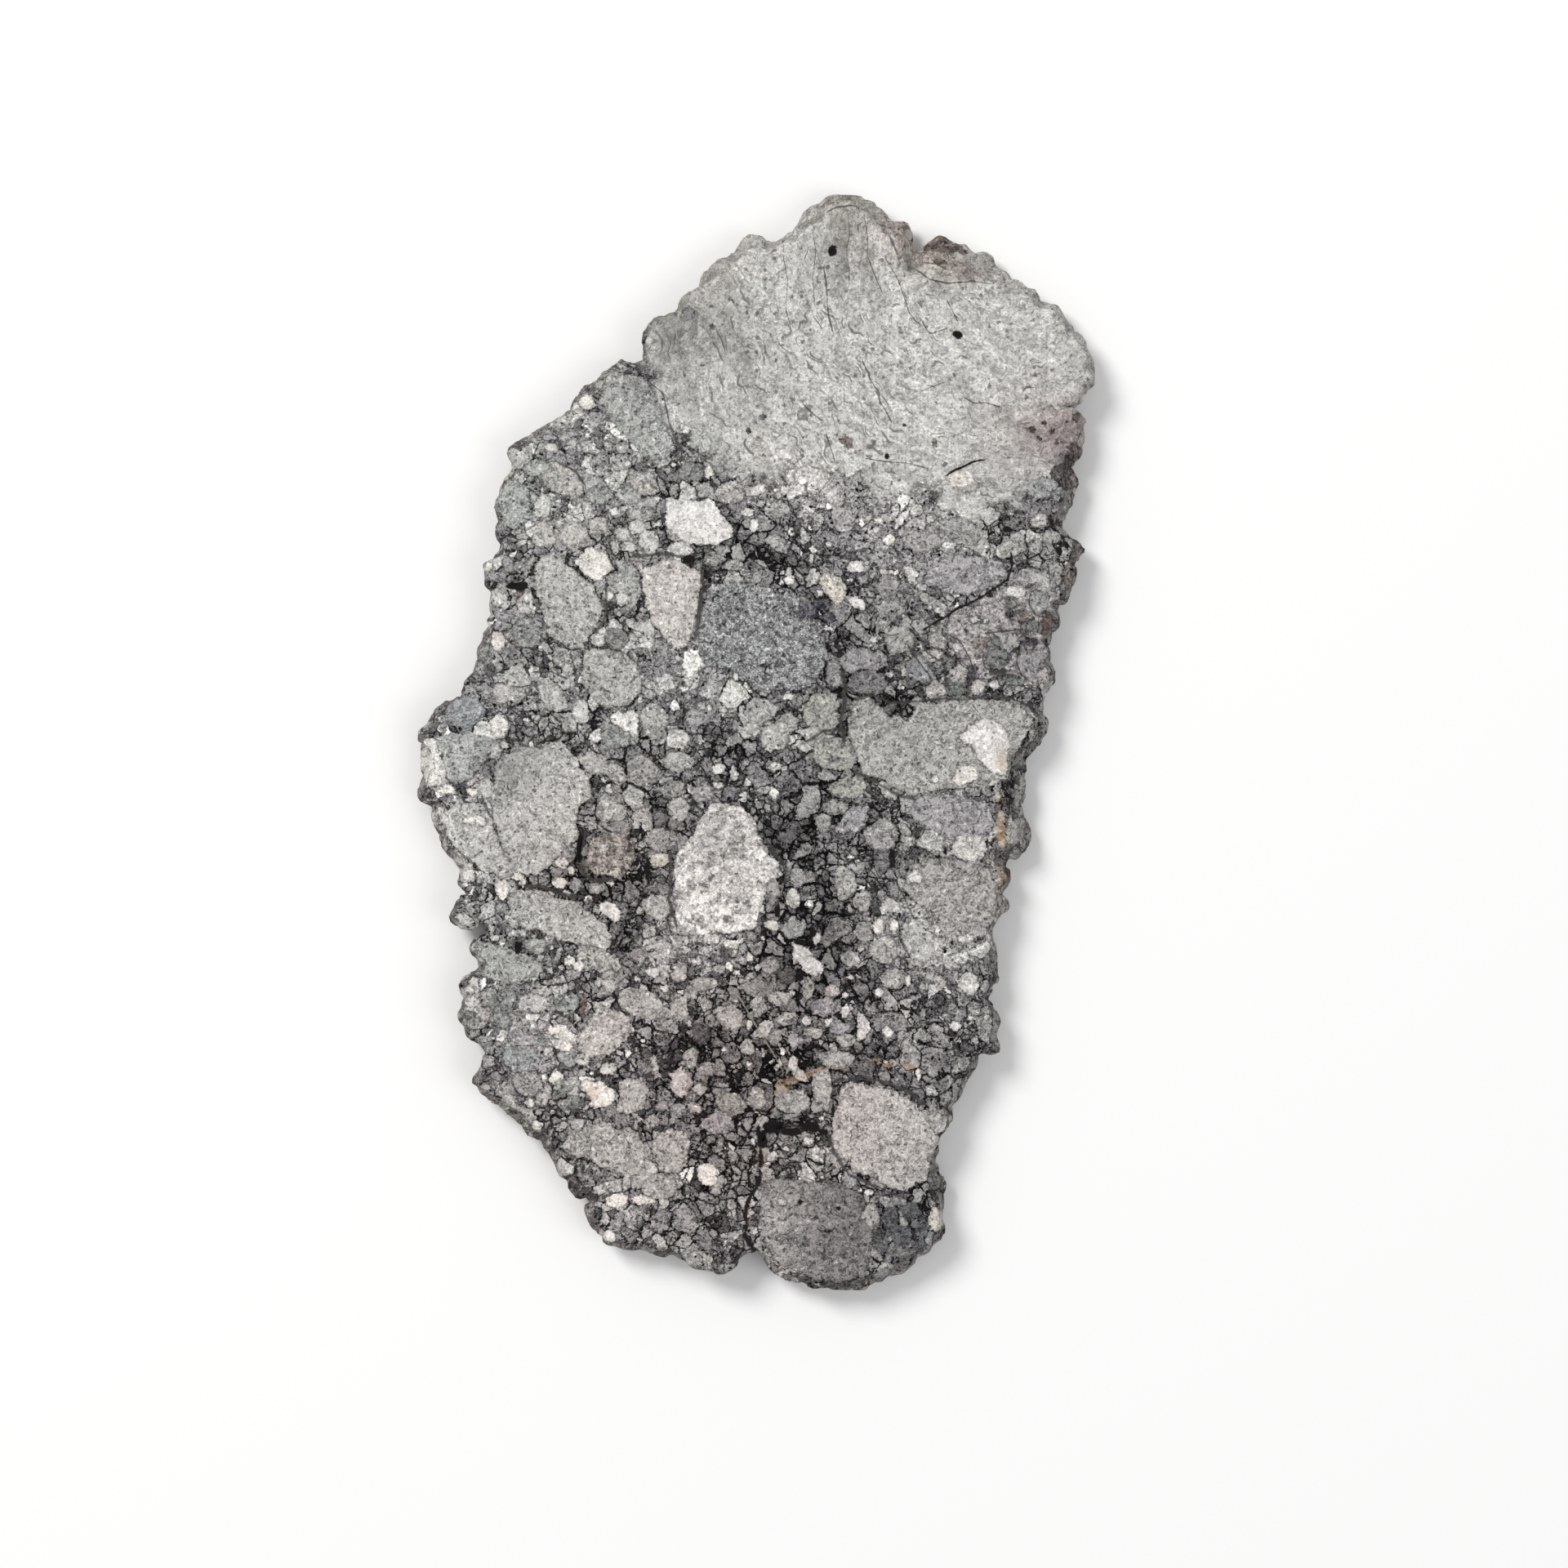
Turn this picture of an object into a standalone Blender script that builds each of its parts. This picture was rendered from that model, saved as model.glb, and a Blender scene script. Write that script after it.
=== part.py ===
"""Slice of a lunar breccia meteorite: a flat stone with two sawn faces and a rough natural rim.

The stone lies on its sawn back face. Its long axis is Y, its front face looks up (+Z), and the
origin is at the middle of the box's foot. Lengths are millimetres until a mesh is made.
"""
import math
from collections import namedtuple

import bmesh
import bpy
import numpy as np
from mathutils import Vector, noise

MM = 0.001

# Driving dimensions of the slice
THICKNESS = 4.0
OUTLINE_STEP = 0.74
OUTLINE_ROUGHNESS = 0.16
SWELL_SIZE = 4.5
SWELL_DEPTH = 0.9
COBBLE_SIZE = 2.1
COBBLE_DEPTH = 0.8
GRAIN_SIZE = 0.9
GRAIN_DEPTH = 0.14
LEDGE_WAVER = 0.05
RING_HEIGHTS = (1.0, 0.9, 0.74, 0.56, 0.37, 0.18, 0.0)
DIRECTION_BLEND = 3.2
RIM_BLEND = 1.3

# A stretch of the rim, counter-clockwise seen from the front. front and back say how far the
# sawn faces stay inside the widest line, waist is that line's height as a share of the
# thickness, and shoulder is above 1 where the rim is rounded and below 1 where it is a ledge.
Stretch = namedtuple("Stretch", "front back waist shoulder points")

TOP_KNOB = Stretch(1.3, 0.5, 0.45, 1.3, (
    (8.4, 49.1), (7.0, 49.0), (5.0, 48.1), (4.1, 47.3), (3.6, 46.4), (2.6, 45.4), (1.4, 45.0),
    (0.4, 44.9), (-0.4, 45.3)))

UPPER_LEFT = Stretch(0.45, 0.7, 0.6, 1.6, (
    (-1.1, 45.0), (-2.3, 43.7), (-3.9, 42.5), (-4.7, 41.9), (-5.2, 40.6), (-6.5, 39.6),
    (-7.2, 38.3), (-8.1, 38.4), (-9.8, 37.4), (-10.0, 36.0), (-10.0, 34.0), (-11.4, 33.6),
    (-12.2, 34.1), (-13.5, 32.9), (-14.0, 32.3), (-15.3, 31.9), (-17.0, 29.6), (-18.3, 28.5),
    (-20.0, 27.2), (-20.9, 26.9), (-21.9, 25.8), (-21.6, 25.0), (-21.6, 24.3), (-23.2, 21.8),
    (-23.4, 21.0), (-23.1, 19.6), (-23.4, 19.0), (-22.9, 17.9)))

LEFT_WAIST = Stretch(0.3, 0.5, 0.65, 1.8, (
    (-23.3, 16.5), (-24.3, 15.8), (-24.5, 15.0), (-24.6, 14.2), (-24.0, 13.3), (-24.0, 12.1),
    (-23.7, 11.7), (-23.8, 10.6), (-23.6, 10.2), (-24.7, 8.4), (-25.0, 7.0), (-24.9, 6.1),
    (-26.1, 5.5), (-26.1, 4.0), (-27.3, 3.5)))

LEFT_BULGE = Stretch(0.95, 0.6, 0.45, 1.1, (
    (-28.9, 2.9), (-29.8, 1.4), (-30.5, 0.6), (-29.9, -0.5), (-29.7, -2.0), (-29.9, -3.9),
    (-30.2, -4.9), (-29.3, -5.6), (-29.1, -7.2), (-28.3, -8.8), (-28.2, -9.6), (-27.1, -10.9),
    (-26.6, -11.4), (-26.9, -12.9), (-26.1, -13.5)))

LEFT_HOOK = Stretch(0.25, 0.3, 0.55, 1.4, (
    (-26.0, -14.2), (-26.7, -14.3), (-27.1, -15.6), (-26.8, -16.3), (-25.7, -16.6),
    (-25.1, -15.9), (-24.6, -15.8), (-24.0, -17.0), (-24.4, -17.9), (-24.9, -17.9),
    (-25.2, -17.5), (-25.7, -18.3), (-24.8, -19.6), (-24.7, -20.2)))

LOWER_LEFT = Stretch(0.55, 0.6, 0.55, 1.5, (
    (-25.7, -20.8), (-26.6, -22.1), (-26.2, -23.6), (-26.4, -24.9), (-25.4, -26.7),
    (-24.7, -26.9), (-24.1, -28.2), (-25.4, -30.4), (-24.1, -31.8), (-22.8, -32.7),
    (-20.9, -34.5), (-19.2, -35.9), (-18.5, -36.7), (-17.8, -38.3), (-16.9, -39.1),
    (-16.1, -40.6), (-15.3, -40.5), (-14.9, -41.1), (-15.2, -42.1), (-15.0, -42.9),
    (-13.8, -44.4), (-13.7, -45.0)))

FOOT = Stretch(0.35, 0.5, 0.6, 1.6, (
    (-12.6, -45.0), (-11.7, -45.5), (-10.1, -45.5), (-9.2, -45.8), (-7.8, -45.8),
    (-6.3, -46.1), (-4.8, -46.9), (-3.2, -47.5), (-2.1, -46.7), (-1.8, -46.2), (-1.0, -45.7),
    (-0.3, -45.6), (0.0, -45.4), (0.6, -46.0), (0.9, -46.4), (1.1, -47.0), (1.9, -47.5),
    (2.7, -48.0)))

LOWER_END = Stretch(0.8, 0.6, 0.5, 1.3, (
    (3.9, -48.2), (5.3, -48.8), (6.8, -48.9), (8.2, -49.1), (9.9, -48.7), (11.2, -48.0),
    (12.7, -47.5), (14.0, -46.5), (15.2, -45.7), (16.0, -44.9), (16.9, -43.9)))

LOWER_RIGHT_LEDGE = Stretch(1.0, 0.5, 0.4, 0.6, (
    (17.0, -43.0), (17.0, -40.9), (17.1, -39.4), (16.6, -38.8), (16.7, -38.0), (16.3, -37.2)))

LOWER_RIGHT = Stretch(0.4, 0.6, 0.55, 1.5, (
    (16.5, -36.1), (16.6, -35.2), (17.1, -34.6), (17.5, -33.6), (17.3, -32.7), (18.0, -32.0),
    (18.3, -31.1), (18.7, -30.2), (19.2, -29.8), (19.8, -28.7), (19.6, -27.9), (20.0, -27.7),
    (21.2, -27.6), (21.5, -27.4), (21.4, -26.1), (21.6, -24.9), (21.0, -23.8)))

RIGHT_WAIST = Stretch(0.5, 0.5, 0.5, 1.4, (
    (20.6, -22.8), (21.0, -21.8), (21.5, -21.2), (21.4, -20.0), (21.1, -19.1), (21.3, -18.2),
    (21.0, -17.0), (21.6, -15.7), (22.5, -14.9), (22.3, -14.3), (21.6, -13.7), (22.0, -13.5),
    (22.3, -12.9), (22.7, -12.4), (22.4, -11.7), (21.9, -11.6), (22.0, -10.7)))

RIGHT_LUMP = Stretch(2.1, 0.7, 0.5, 0.7, (
    (22.4, -10.3), (23.1, -10.3), (24.3, -9.6), (24.5, -8.5), (24.1, -6.0), (24.4, -4.5),
    (24.5, -3.4), (24.5, -2.5)))

RIGHT_FLANK = Stretch(0.5, 0.6, 0.55, 1.4, (
    (24.0, -1.5), (24.5, -1.1), (24.8, -0.3), (25.3, -0.2), (25.9, 1.1), (26.0, 1.9),
    (25.6, 3.2), (25.8, 4.1), (26.6, 5.3), (26.5, 6.2), (25.9, 7.2), (26.1, 7.7), (25.8, 8.7),
    (26.1, 9.2), (26.9, 10.6), (26.8, 11.5), (27.0, 12.3), (27.7, 12.8), (28.4, 14.5),
    (28.6, 16.2), (29.2, 17.2), (28.8, 17.9), (28.4, 17.8)))

UPPER_FLANK = Stretch(0.8, 0.6, 0.5, 1.2, (
    (28.1, 18.4), (27.3, 19.3), (27.5, 19.8), (27.9, 20.5), (27.9, 21.0), (28.4, 21.8),
    (28.8, 23.0), (28.0, 24.4), (28.5, 25.4), (29.1, 26.0), (28.9, 26.7), (29.4, 27.3),
    (29.0, 27.9), (29.4, 28.7), (28.9, 29.2), (28.0, 29.7), (28.0, 30.0), (29.1, 30.4),
    (29.7, 31.4), (30.2, 32.2)))

UPPER_CORNER = Stretch(1.1, 0.6, 0.5, 1.3, (
    (30.4, 33.1), (30.2, 34.2), (29.5, 35.0), (29.3, 35.8), (28.4, 36.5), (28.0, 37.4),
    (27.3, 38.0), (26.9, 38.8), (25.8, 39.4), (25.0, 40.4), (24.0, 41.0), (23.3, 41.5),
    (22.6, 42.3)))

UPPER_RIND = Stretch(2.9, 0.6, 0.4, 1.1, (
    (21.5, 42.8), (20.8, 43.6), (19.7, 43.9), (18.9, 44.5), (17.8, 44.7), (17.0, 45.0),
    (16.5, 45.2), (15.3, 44.7), (14.8, 44.2), (14.1, 44.2)))

TOP_RIND = Stretch(1.1, 0.6, 0.45, 1.1, (
    (13.8, 45.1), (13.7, 45.6), (13.2, 46.4), (12.0, 46.6), (11.7, 47.0), (11.3, 47.6),
    (10.5, 47.9), (10.4, 48.3), (9.5, 48.6)))

RIM = (TOP_KNOB, UPPER_LEFT, LEFT_WAIST, LEFT_BULGE, LEFT_HOOK, LOWER_LEFT, FOOT, LOWER_END,
       LOWER_RIGHT_LEDGE, LOWER_RIGHT, RIGHT_WAIST, RIGHT_LUMP, RIGHT_FLANK, UPPER_FLANK,
       UPPER_CORNER, UPPER_RIND, TOP_RIND)

# Pits in the front face: centre x and y, half length, half width, depth, turn in degrees
PITS = (
    (6.8, 43.8, 0.5, 0.4, 0.5, 80.0),
    (17.9, 36.1, 0.6, 0.45, 0.4, 20.0),
    (-21.3, 14.2, 0.9, 0.6, 0.6, 10.0),
    (-15.6, -9.5, 1.4, 0.6, 0.7, 85.0),
    (22.9, -4.3, 0.9, 0.9, 1.5, 0.0),
    (2.7, -34.5, 2.0, 0.45, 0.9, 0.0),
    (0.7, -35.2, 0.9, 0.4, 0.9, 70.0),
    (9.0, -27.5, 0.9, 0.6, 0.6, 160.0),
    (10.6, -29.6, 0.8, 0.6, 0.5, 30.0),
    (20.9, 13.2, 0.6, 0.35, 0.5, 10.0),
    (22.7, 11.3, 0.5, 0.35, 0.5, 20.0),
    (-21.4, -18.3, 0.7, 0.35, 0.4, 125.0),
    (12.1, -10.6, 0.8, 0.3, 0.5, 80.0),
    (3.9, -41.1, 0.35, 0.3, 0.3, 0.0),
    (6.4, -43.6, 0.35, 0.3, 0.3, 0.0),
    (26.6, 19.6, 0.6, 0.45, 0.7, 70.0),
    (20.2, -22.5, 0.6, 0.4, 0.8, 60.0),
)

# Open cracks in the front face: half width, depth, and the points that they pass through
FOOT_CRACK = (0.24, 0.9, (
    (0.3, -36.4), (0.4, -37.6), (0.1, -39.2), (-0.6, -40.6), (-0.9, -42.1), (-0.9, -43.4),
    (-0.6, -44.6), (0.0, -45.9)))
RIGHT_CRACK = (0.16, 0.6, (
    (15.2, 10.2), (16.4, 10.9), (18.1, 11.9), (19.8, 12.7), (21.2, 13.6), (22.3, 14.3),
    (22.7, 15.4), (22.6, 16.3)))
SHEET_CRACK = (0.13, 0.5, (
    (14.5, 3.6), (16.6, 3.8), (18.6, 3.7), (20.8, 4.1), (22.6, 3.8), (24.3, 3.2), (25.0, 2.2)))
UPPER_CRACK = (0.12, 0.5, (
    (16.9, 23.7), (17.6, 24.1), (18.6, 24.4), (19.4, 24.9), (20.4, 25.1)))
CRACKS = (FOOT_CRACK, RIGHT_CRACK, SHEET_CRACK, UPPER_CRACK)

# Colour and finish of the sawn rock
STONE_COLOUR = (0.33, 0.32, 0.30, 1.0)
STONE_ROUGHNESS = 0.85


def clear_scene():
    """Take every object out of the scene."""
    for item in list(bpy.data.objects):
        bpy.data.objects.remove(item, do_unlink=True)


def make_collection(name):
    """Add a collection to the scene and return it."""
    group = bpy.data.collections.new(name)
    bpy.context.scene.collection.children.link(group)
    return group


def stone_material():
    """Grey, dull rock."""
    material = bpy.data.materials.new("lunar_breccia")
    material.use_nodes = True
    shader = material.node_tree.nodes["Principled BSDF"]
    shader.inputs["Base Color"].default_value = STONE_COLOUR
    shader.inputs["Roughness"].default_value = STONE_ROUGHNESS
    shader.inputs["Metallic"].default_value = 0.0
    return material


def rim_noise(x, y, z, size):
    """Smooth noise from about -1 to 1 whose lumps are about this size."""
    return noise.noise(Vector((x, y, z)) / size)


def cobbles(x, y, z):
    """Depth below rounded lumps packed side by side: 0 on their tops, 1 in the creases."""
    nearest = noise.voronoi(Vector((x, y, z)) / COBBLE_SIZE)[0][0]
    return min(1.0, (nearest / 0.75) ** 2)


def walk_rim():
    """Return the outline's points, with the long sides split and roughened, and the rim's values."""
    corners = [(point, stretch) for stretch in RIM for point in stretch.points]
    points = []
    values = []
    for index, (start, stretch) in enumerate(corners):
        end = corners[(index + 1) % len(corners)][0]
        run = Vector(end) - Vector(start)
        sideways = Vector((run.y, -run.x)).normalized()
        pieces = max(1, math.ceil(run.length / OUTLINE_STEP))
        for step in range(pieces):
            spot = Vector(start) + run * (step / pieces)
            if step:
                spot += sideways * OUTLINE_ROUGHNESS * rim_noise(spot.x, spot.y, 7.0, 0.8)
            points.append((spot.x, spot.y))
            values.append((stretch.front, stretch.back, stretch.waist, stretch.shoulder))
    return np.array(points), np.array(values)


def blend_around(values, distances, reach):
    """Average values around the closed rim with a bell curve of this reach."""
    total = distances[-1]
    along = distances[:-1]
    gaps = np.abs(along[:, None] - along[None, :])
    gaps = np.minimum(gaps, total - gaps)
    weights = np.exp(-0.5 * (gaps / reach) ** 2)
    weights /= weights.sum(axis=1)[:, None]
    return weights @ values


def rim_distances(points):
    """Distance along the closed outline at each point, with the whole length at the end."""
    sides = np.linalg.norm(np.roll(points, -1, axis=0) - points, axis=1)
    return np.concatenate(([0.0], np.cumsum(sides)))


def inward_directions(points, distances):
    """Directions that lead into the stone and turn slowly from point to point."""
    calm = blend_around(points, distances, DIRECTION_BLEND)
    tangent = np.roll(calm, -2, axis=0) - np.roll(calm, 2, axis=0)
    inward = np.stack((-tangent[:, 1], tangent[:, 0]), axis=1)
    return inward / np.linalg.norm(inward, axis=1)[:, None]


def rim_inset(height, front, back, waist, shoulder):
    """How far the rim stands inside its widest line at this share of the thickness."""
    if height >= waist:
        return front * ((height - waist) / (1.0 - waist)) ** shoulder
    return back * ((waist - height) / waist) ** shoulder


def ring_points(points, inward, values, height):
    """One closed ring of the rim, from the widest line and the profile of each stretch."""
    sawn = height in (0.0, 1.0)
    ring = []
    for (x, y), (dx, dy), profile in zip(points, inward, values):
        front, back, waist, shoulder = profile
        waist += 0.12 * rim_noise(x, y, 3.0, 3.5)
        inset = rim_inset(height, front, back, waist, shoulder)
        z = height * THICKNESS
        swell = SWELL_DEPTH * (0.2 + rim_noise(x, y, z, SWELL_SIZE))
        lump = COBBLE_DEPTH * cobbles(x, y, z) + swell
        grain = GRAIN_DEPTH * rim_noise(x, y, z + 40.0, GRAIN_SIZE)
        share = 0.35 if sawn else min(1.0, 0.1 + abs(height - waist) / 0.3)
        inset = max(0.0, inset + lump * share) + grain
        if not sawn:
            z += THICKNESS * LEDGE_WAVER * rim_noise(x, y, z + 80.0, 2.8)
        ring.append((x + dx * inset, y + dy * inset, z))
    return ring


def slab_object(group, material):
    """Loft the rim from the front face to the back face and close both faces."""
    points, values = walk_rim()
    distances = rim_distances(points)
    values = blend_around(values, distances, RIM_BLEND)
    inward = inward_directions(points, distances)
    rings = [ring_points(points, inward, values, height) for height in RING_HEIGHTS]
    corners = np.array(rings).reshape(-1, 3)
    middle = (corners.min(axis=0) + corners.max(axis=0)) / 2.0

    work = bmesh.new()
    grown = []
    for ring in rings:
        grown.append([work.verts.new((MM * (x - middle[0]), MM * (y - middle[1]), MM * z))
                      for x, y, z in ring])
    count = len(points)
    for upper, lower in zip(grown, grown[1:]):
        for index in range(count):
            after = (index + 1) % count
            work.faces.new((upper[index], lower[index], lower[after], upper[after]))
    for ring in (grown[0], grown[-1]):
        edges = [work.edges.get((ring[index], ring[(index + 1) % count])) for index in range(count)]
        bmesh.ops.triangle_fill(work, edges=edges, use_beauty=True)
    bmesh.ops.triangulate(work, faces=work.faces[:])
    bmesh.ops.recalc_face_normals(work, faces=work.faces[:])

    mesh = bpy.data.meshes.new("meteorite_slice")
    work.to_mesh(mesh)
    work.free()
    mesh.materials.append(material)
    slab = bpy.data.objects.new("meteorite_slice", mesh)
    group.objects.link(slab)
    return slab, middle


def hide_cutter(cutter, group):
    """Keep a cutter out of the render and show it as wire."""
    cutter.hide_render = True
    cutter.display_type = "WIRE"
    group.objects.link(cutter)


def pit_cutter(name, pit, middle, group):
    """A dented ball that sinks into the front face."""
    x, y, half_length, half_width, depth, turn = pit
    mesh = bpy.data.meshes.new(name)
    ball = bmesh.new()
    bmesh.ops.create_icosphere(ball, subdivisions=2, radius=1.0)
    angle = math.radians(turn)
    for vert in ball.verts:
        dent = 1.0 + 0.28 * noise.noise(vert.co * 1.3 + Vector((x, y, 0.0)))
        along = vert.co.x * half_length * dent
        across = vert.co.y * half_width * dent
        vert.co.x = along * math.cos(angle) - across * math.sin(angle)
        vert.co.y = along * math.sin(angle) + across * math.cos(angle)
        vert.co.z *= depth * dent
    for vert in ball.verts:
        vert.co += Vector((x - middle[0], y - middle[1], THICKNESS + 0.07))
        vert.co *= MM
    ball.to_mesh(mesh)
    ball.free()
    cutter = bpy.data.objects.new(name, mesh)
    hide_cutter(cutter, group)
    return cutter


def crack_cutter(name, crack, middle, group):
    """A wedge along a path, widest at the front face and sharp at its foot."""
    half_width, depth, path = crack
    mesh = bpy.data.meshes.new(name)
    wedge = bmesh.new()
    sections = []
    for index, spot in enumerate(path):
        before = Vector(path[max(index - 1, 0)])
        after = Vector(path[min(index + 1, len(path) - 1)])
        across = (after - before).orthogonal().normalized()
        swell = 1.0 + 0.5 * noise.noise(Vector((spot[0], spot[1], 5.0)))
        taper = 0.55 if index == 0 else 1.0
        reach = half_width * swell * taper
        centre = Vector((spot[0] - middle[0], spot[1] - middle[1]))
        left = centre - across * reach
        right = centre + across * reach
        floor = THICKNESS - depth * swell * taper
        top = THICKNESS + 0.3
        corners = ((left.x, left.y, top), (centre.x, centre.y, floor), (right.x, right.y, top))
        sections.append([wedge.verts.new(Vector(corner) * MM) for corner in corners])
    for near, far in zip(sections, sections[1:]):
        for index in range(3):
            after = (index + 1) % 3
            wedge.faces.new((near[index], near[after], far[after], far[index]))
    wedge.faces.new(sections[0])
    wedge.faces.new(reversed(sections[-1]))
    bmesh.ops.triangulate(wedge, faces=wedge.faces[:])
    bmesh.ops.recalc_face_normals(wedge, faces=wedge.faces[:])
    wedge.to_mesh(mesh)
    wedge.free()
    cutter = bpy.data.objects.new(name, mesh)
    hide_cutter(cutter, group)
    return cutter


def cut(target, cutter):
    """Take the cutter's shape out of the target."""
    removal = target.modifiers.new(cutter.name, "BOOLEAN")
    removal.operation = "DIFFERENCE"
    removal.solver = "EXACT"
    removal.object = cutter


def main():
    clear_scene()
    stone = make_collection("lunar_meteorite_slice")
    cutters = make_collection("cutters")
    slab, middle = slab_object(stone, stone_material())
    for index, pit in enumerate(PITS):
        cut(slab, pit_cutter(f"pit_{index + 1}", pit, middle, cutters))
    for index, crack in enumerate(CRACKS):
        cut(slab, crack_cutter(f"crack_{index + 1}", crack, middle, cutters))


main()
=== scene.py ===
"""Slice of a lunar breccia meteorite with its clasts, veins, pits and rough natural rim."""
import math
import random

import bpy
import numpy as np
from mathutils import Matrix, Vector, noise


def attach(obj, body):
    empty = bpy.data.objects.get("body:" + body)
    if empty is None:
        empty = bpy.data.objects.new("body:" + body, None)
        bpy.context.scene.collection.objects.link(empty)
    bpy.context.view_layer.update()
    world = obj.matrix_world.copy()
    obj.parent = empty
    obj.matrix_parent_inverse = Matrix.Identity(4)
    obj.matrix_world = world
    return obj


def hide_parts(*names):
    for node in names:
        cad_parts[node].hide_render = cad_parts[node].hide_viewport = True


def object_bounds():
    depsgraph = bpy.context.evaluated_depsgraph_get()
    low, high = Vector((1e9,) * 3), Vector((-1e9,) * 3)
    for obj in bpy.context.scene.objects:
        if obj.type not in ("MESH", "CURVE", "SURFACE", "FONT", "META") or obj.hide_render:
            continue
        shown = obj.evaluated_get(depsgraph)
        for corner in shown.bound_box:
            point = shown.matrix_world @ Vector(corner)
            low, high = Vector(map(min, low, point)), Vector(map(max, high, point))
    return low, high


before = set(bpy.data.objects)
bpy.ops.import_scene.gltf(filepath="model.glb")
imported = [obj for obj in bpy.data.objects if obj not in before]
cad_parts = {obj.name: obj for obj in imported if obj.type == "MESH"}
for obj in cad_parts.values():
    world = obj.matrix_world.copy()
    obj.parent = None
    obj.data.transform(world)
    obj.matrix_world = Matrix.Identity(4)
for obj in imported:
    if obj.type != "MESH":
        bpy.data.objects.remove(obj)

CAD_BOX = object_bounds()
MM = 0.001
SEED = 41

# The stone, in millimetres
THICKNESS = 4.0
READ_FROM = (-0.04, -0.08)
MESH_STEP = 0.27
BACK_SHARE = 0.3
EDGE_REACH = 1.1
CRUMB_SIZE = 1.15
CRUMB_MOVE = 0.34
GRIT_SIZE = 0.5
GRIT_MOVE = 0.14
RIM_OUT = 0.3

# Clasts
LAYERS = 5
CLAST_GAP = 0.4
FAR = 3.0
JAGGEDNESS = 0.13
DIP = 0.35
TAPER_LOW = -0.12
TAPER_HIGH = 0.45

# Light and picture
LIGHT_LEVEL = 1.15
PICTURE_WIDTH = 139.7
PICTURE_CENTRE = (2.5, -3.72)
LENS = 100.0
SENSOR = 36.0

# Tones of the clasts: red, green and blue as they look, then the texture
PLAIN, LATHS, MOTTLED = 0.0, 0.5, 1.0
TONES = {
    "white": (0.75, 0.727, 0.703, PLAIN),
    "cream": (0.76, 0.73, 0.68, PLAIN),
    "ivory": (0.60, 0.57, 0.50, PLAIN),
    "pale": (0.58, 0.565, 0.54, PLAIN),
    "bright": (0.46, 0.451, 0.432, PLAIN),
    "grey": (0.405, 0.395, 0.376, PLAIN),
    "mid": (0.33, 0.32, 0.31, PLAIN),
    "dim": (0.22, 0.215, 0.21, PLAIN),
    "dark": (0.11, 0.105, 0.105, PLAIN),
    "green": (0.37, 0.373, 0.358, PLAIN),
    "pink": (0.46, 0.435, 0.415, PLAIN),
    "wedge": (0.55, 0.517, 0.494, PLAIN),
    "lilac": (0.345, 0.33, 0.338, PLAIN),
    "olive": (0.335, 0.33, 0.305, PLAIN),
    "blue": (0.31, 0.316, 0.32, PLAIN),
    "brown": (0.32, 0.296, 0.276, MOTTLED),
    "laths": (0.264, 0.268, 0.264, LATHS),
    "mottled": (0.64, 0.62, 0.60, MOTTLED),
    "oval": (0.45, 0.443, 0.425, PLAIN),
    "rind": (0.46, 0.425, 0.39, PLAIN),
    "umber": (0.17, 0.13, 0.12, PLAIN),
    "russet": (0.26, 0.22, 0.20, PLAIN),
    "crust": (0.13, 0.108, 0.098, MOTTLED),
    "moss": (0.205, 0.212, 0.202, PLAIN),
    "sage": (0.285, 0.292, 0.28, PLAIN),
    "slate": (0.215, 0.208, 0.203, PLAIN),
    "dusk": (0.125, 0.126, 0.13, PLAIN),
    "ash": (0.36, 0.342, 0.338, MOTTLED),
    "plum": (0.12, 0.112, 0.132, MOTTLED),
}

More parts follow.
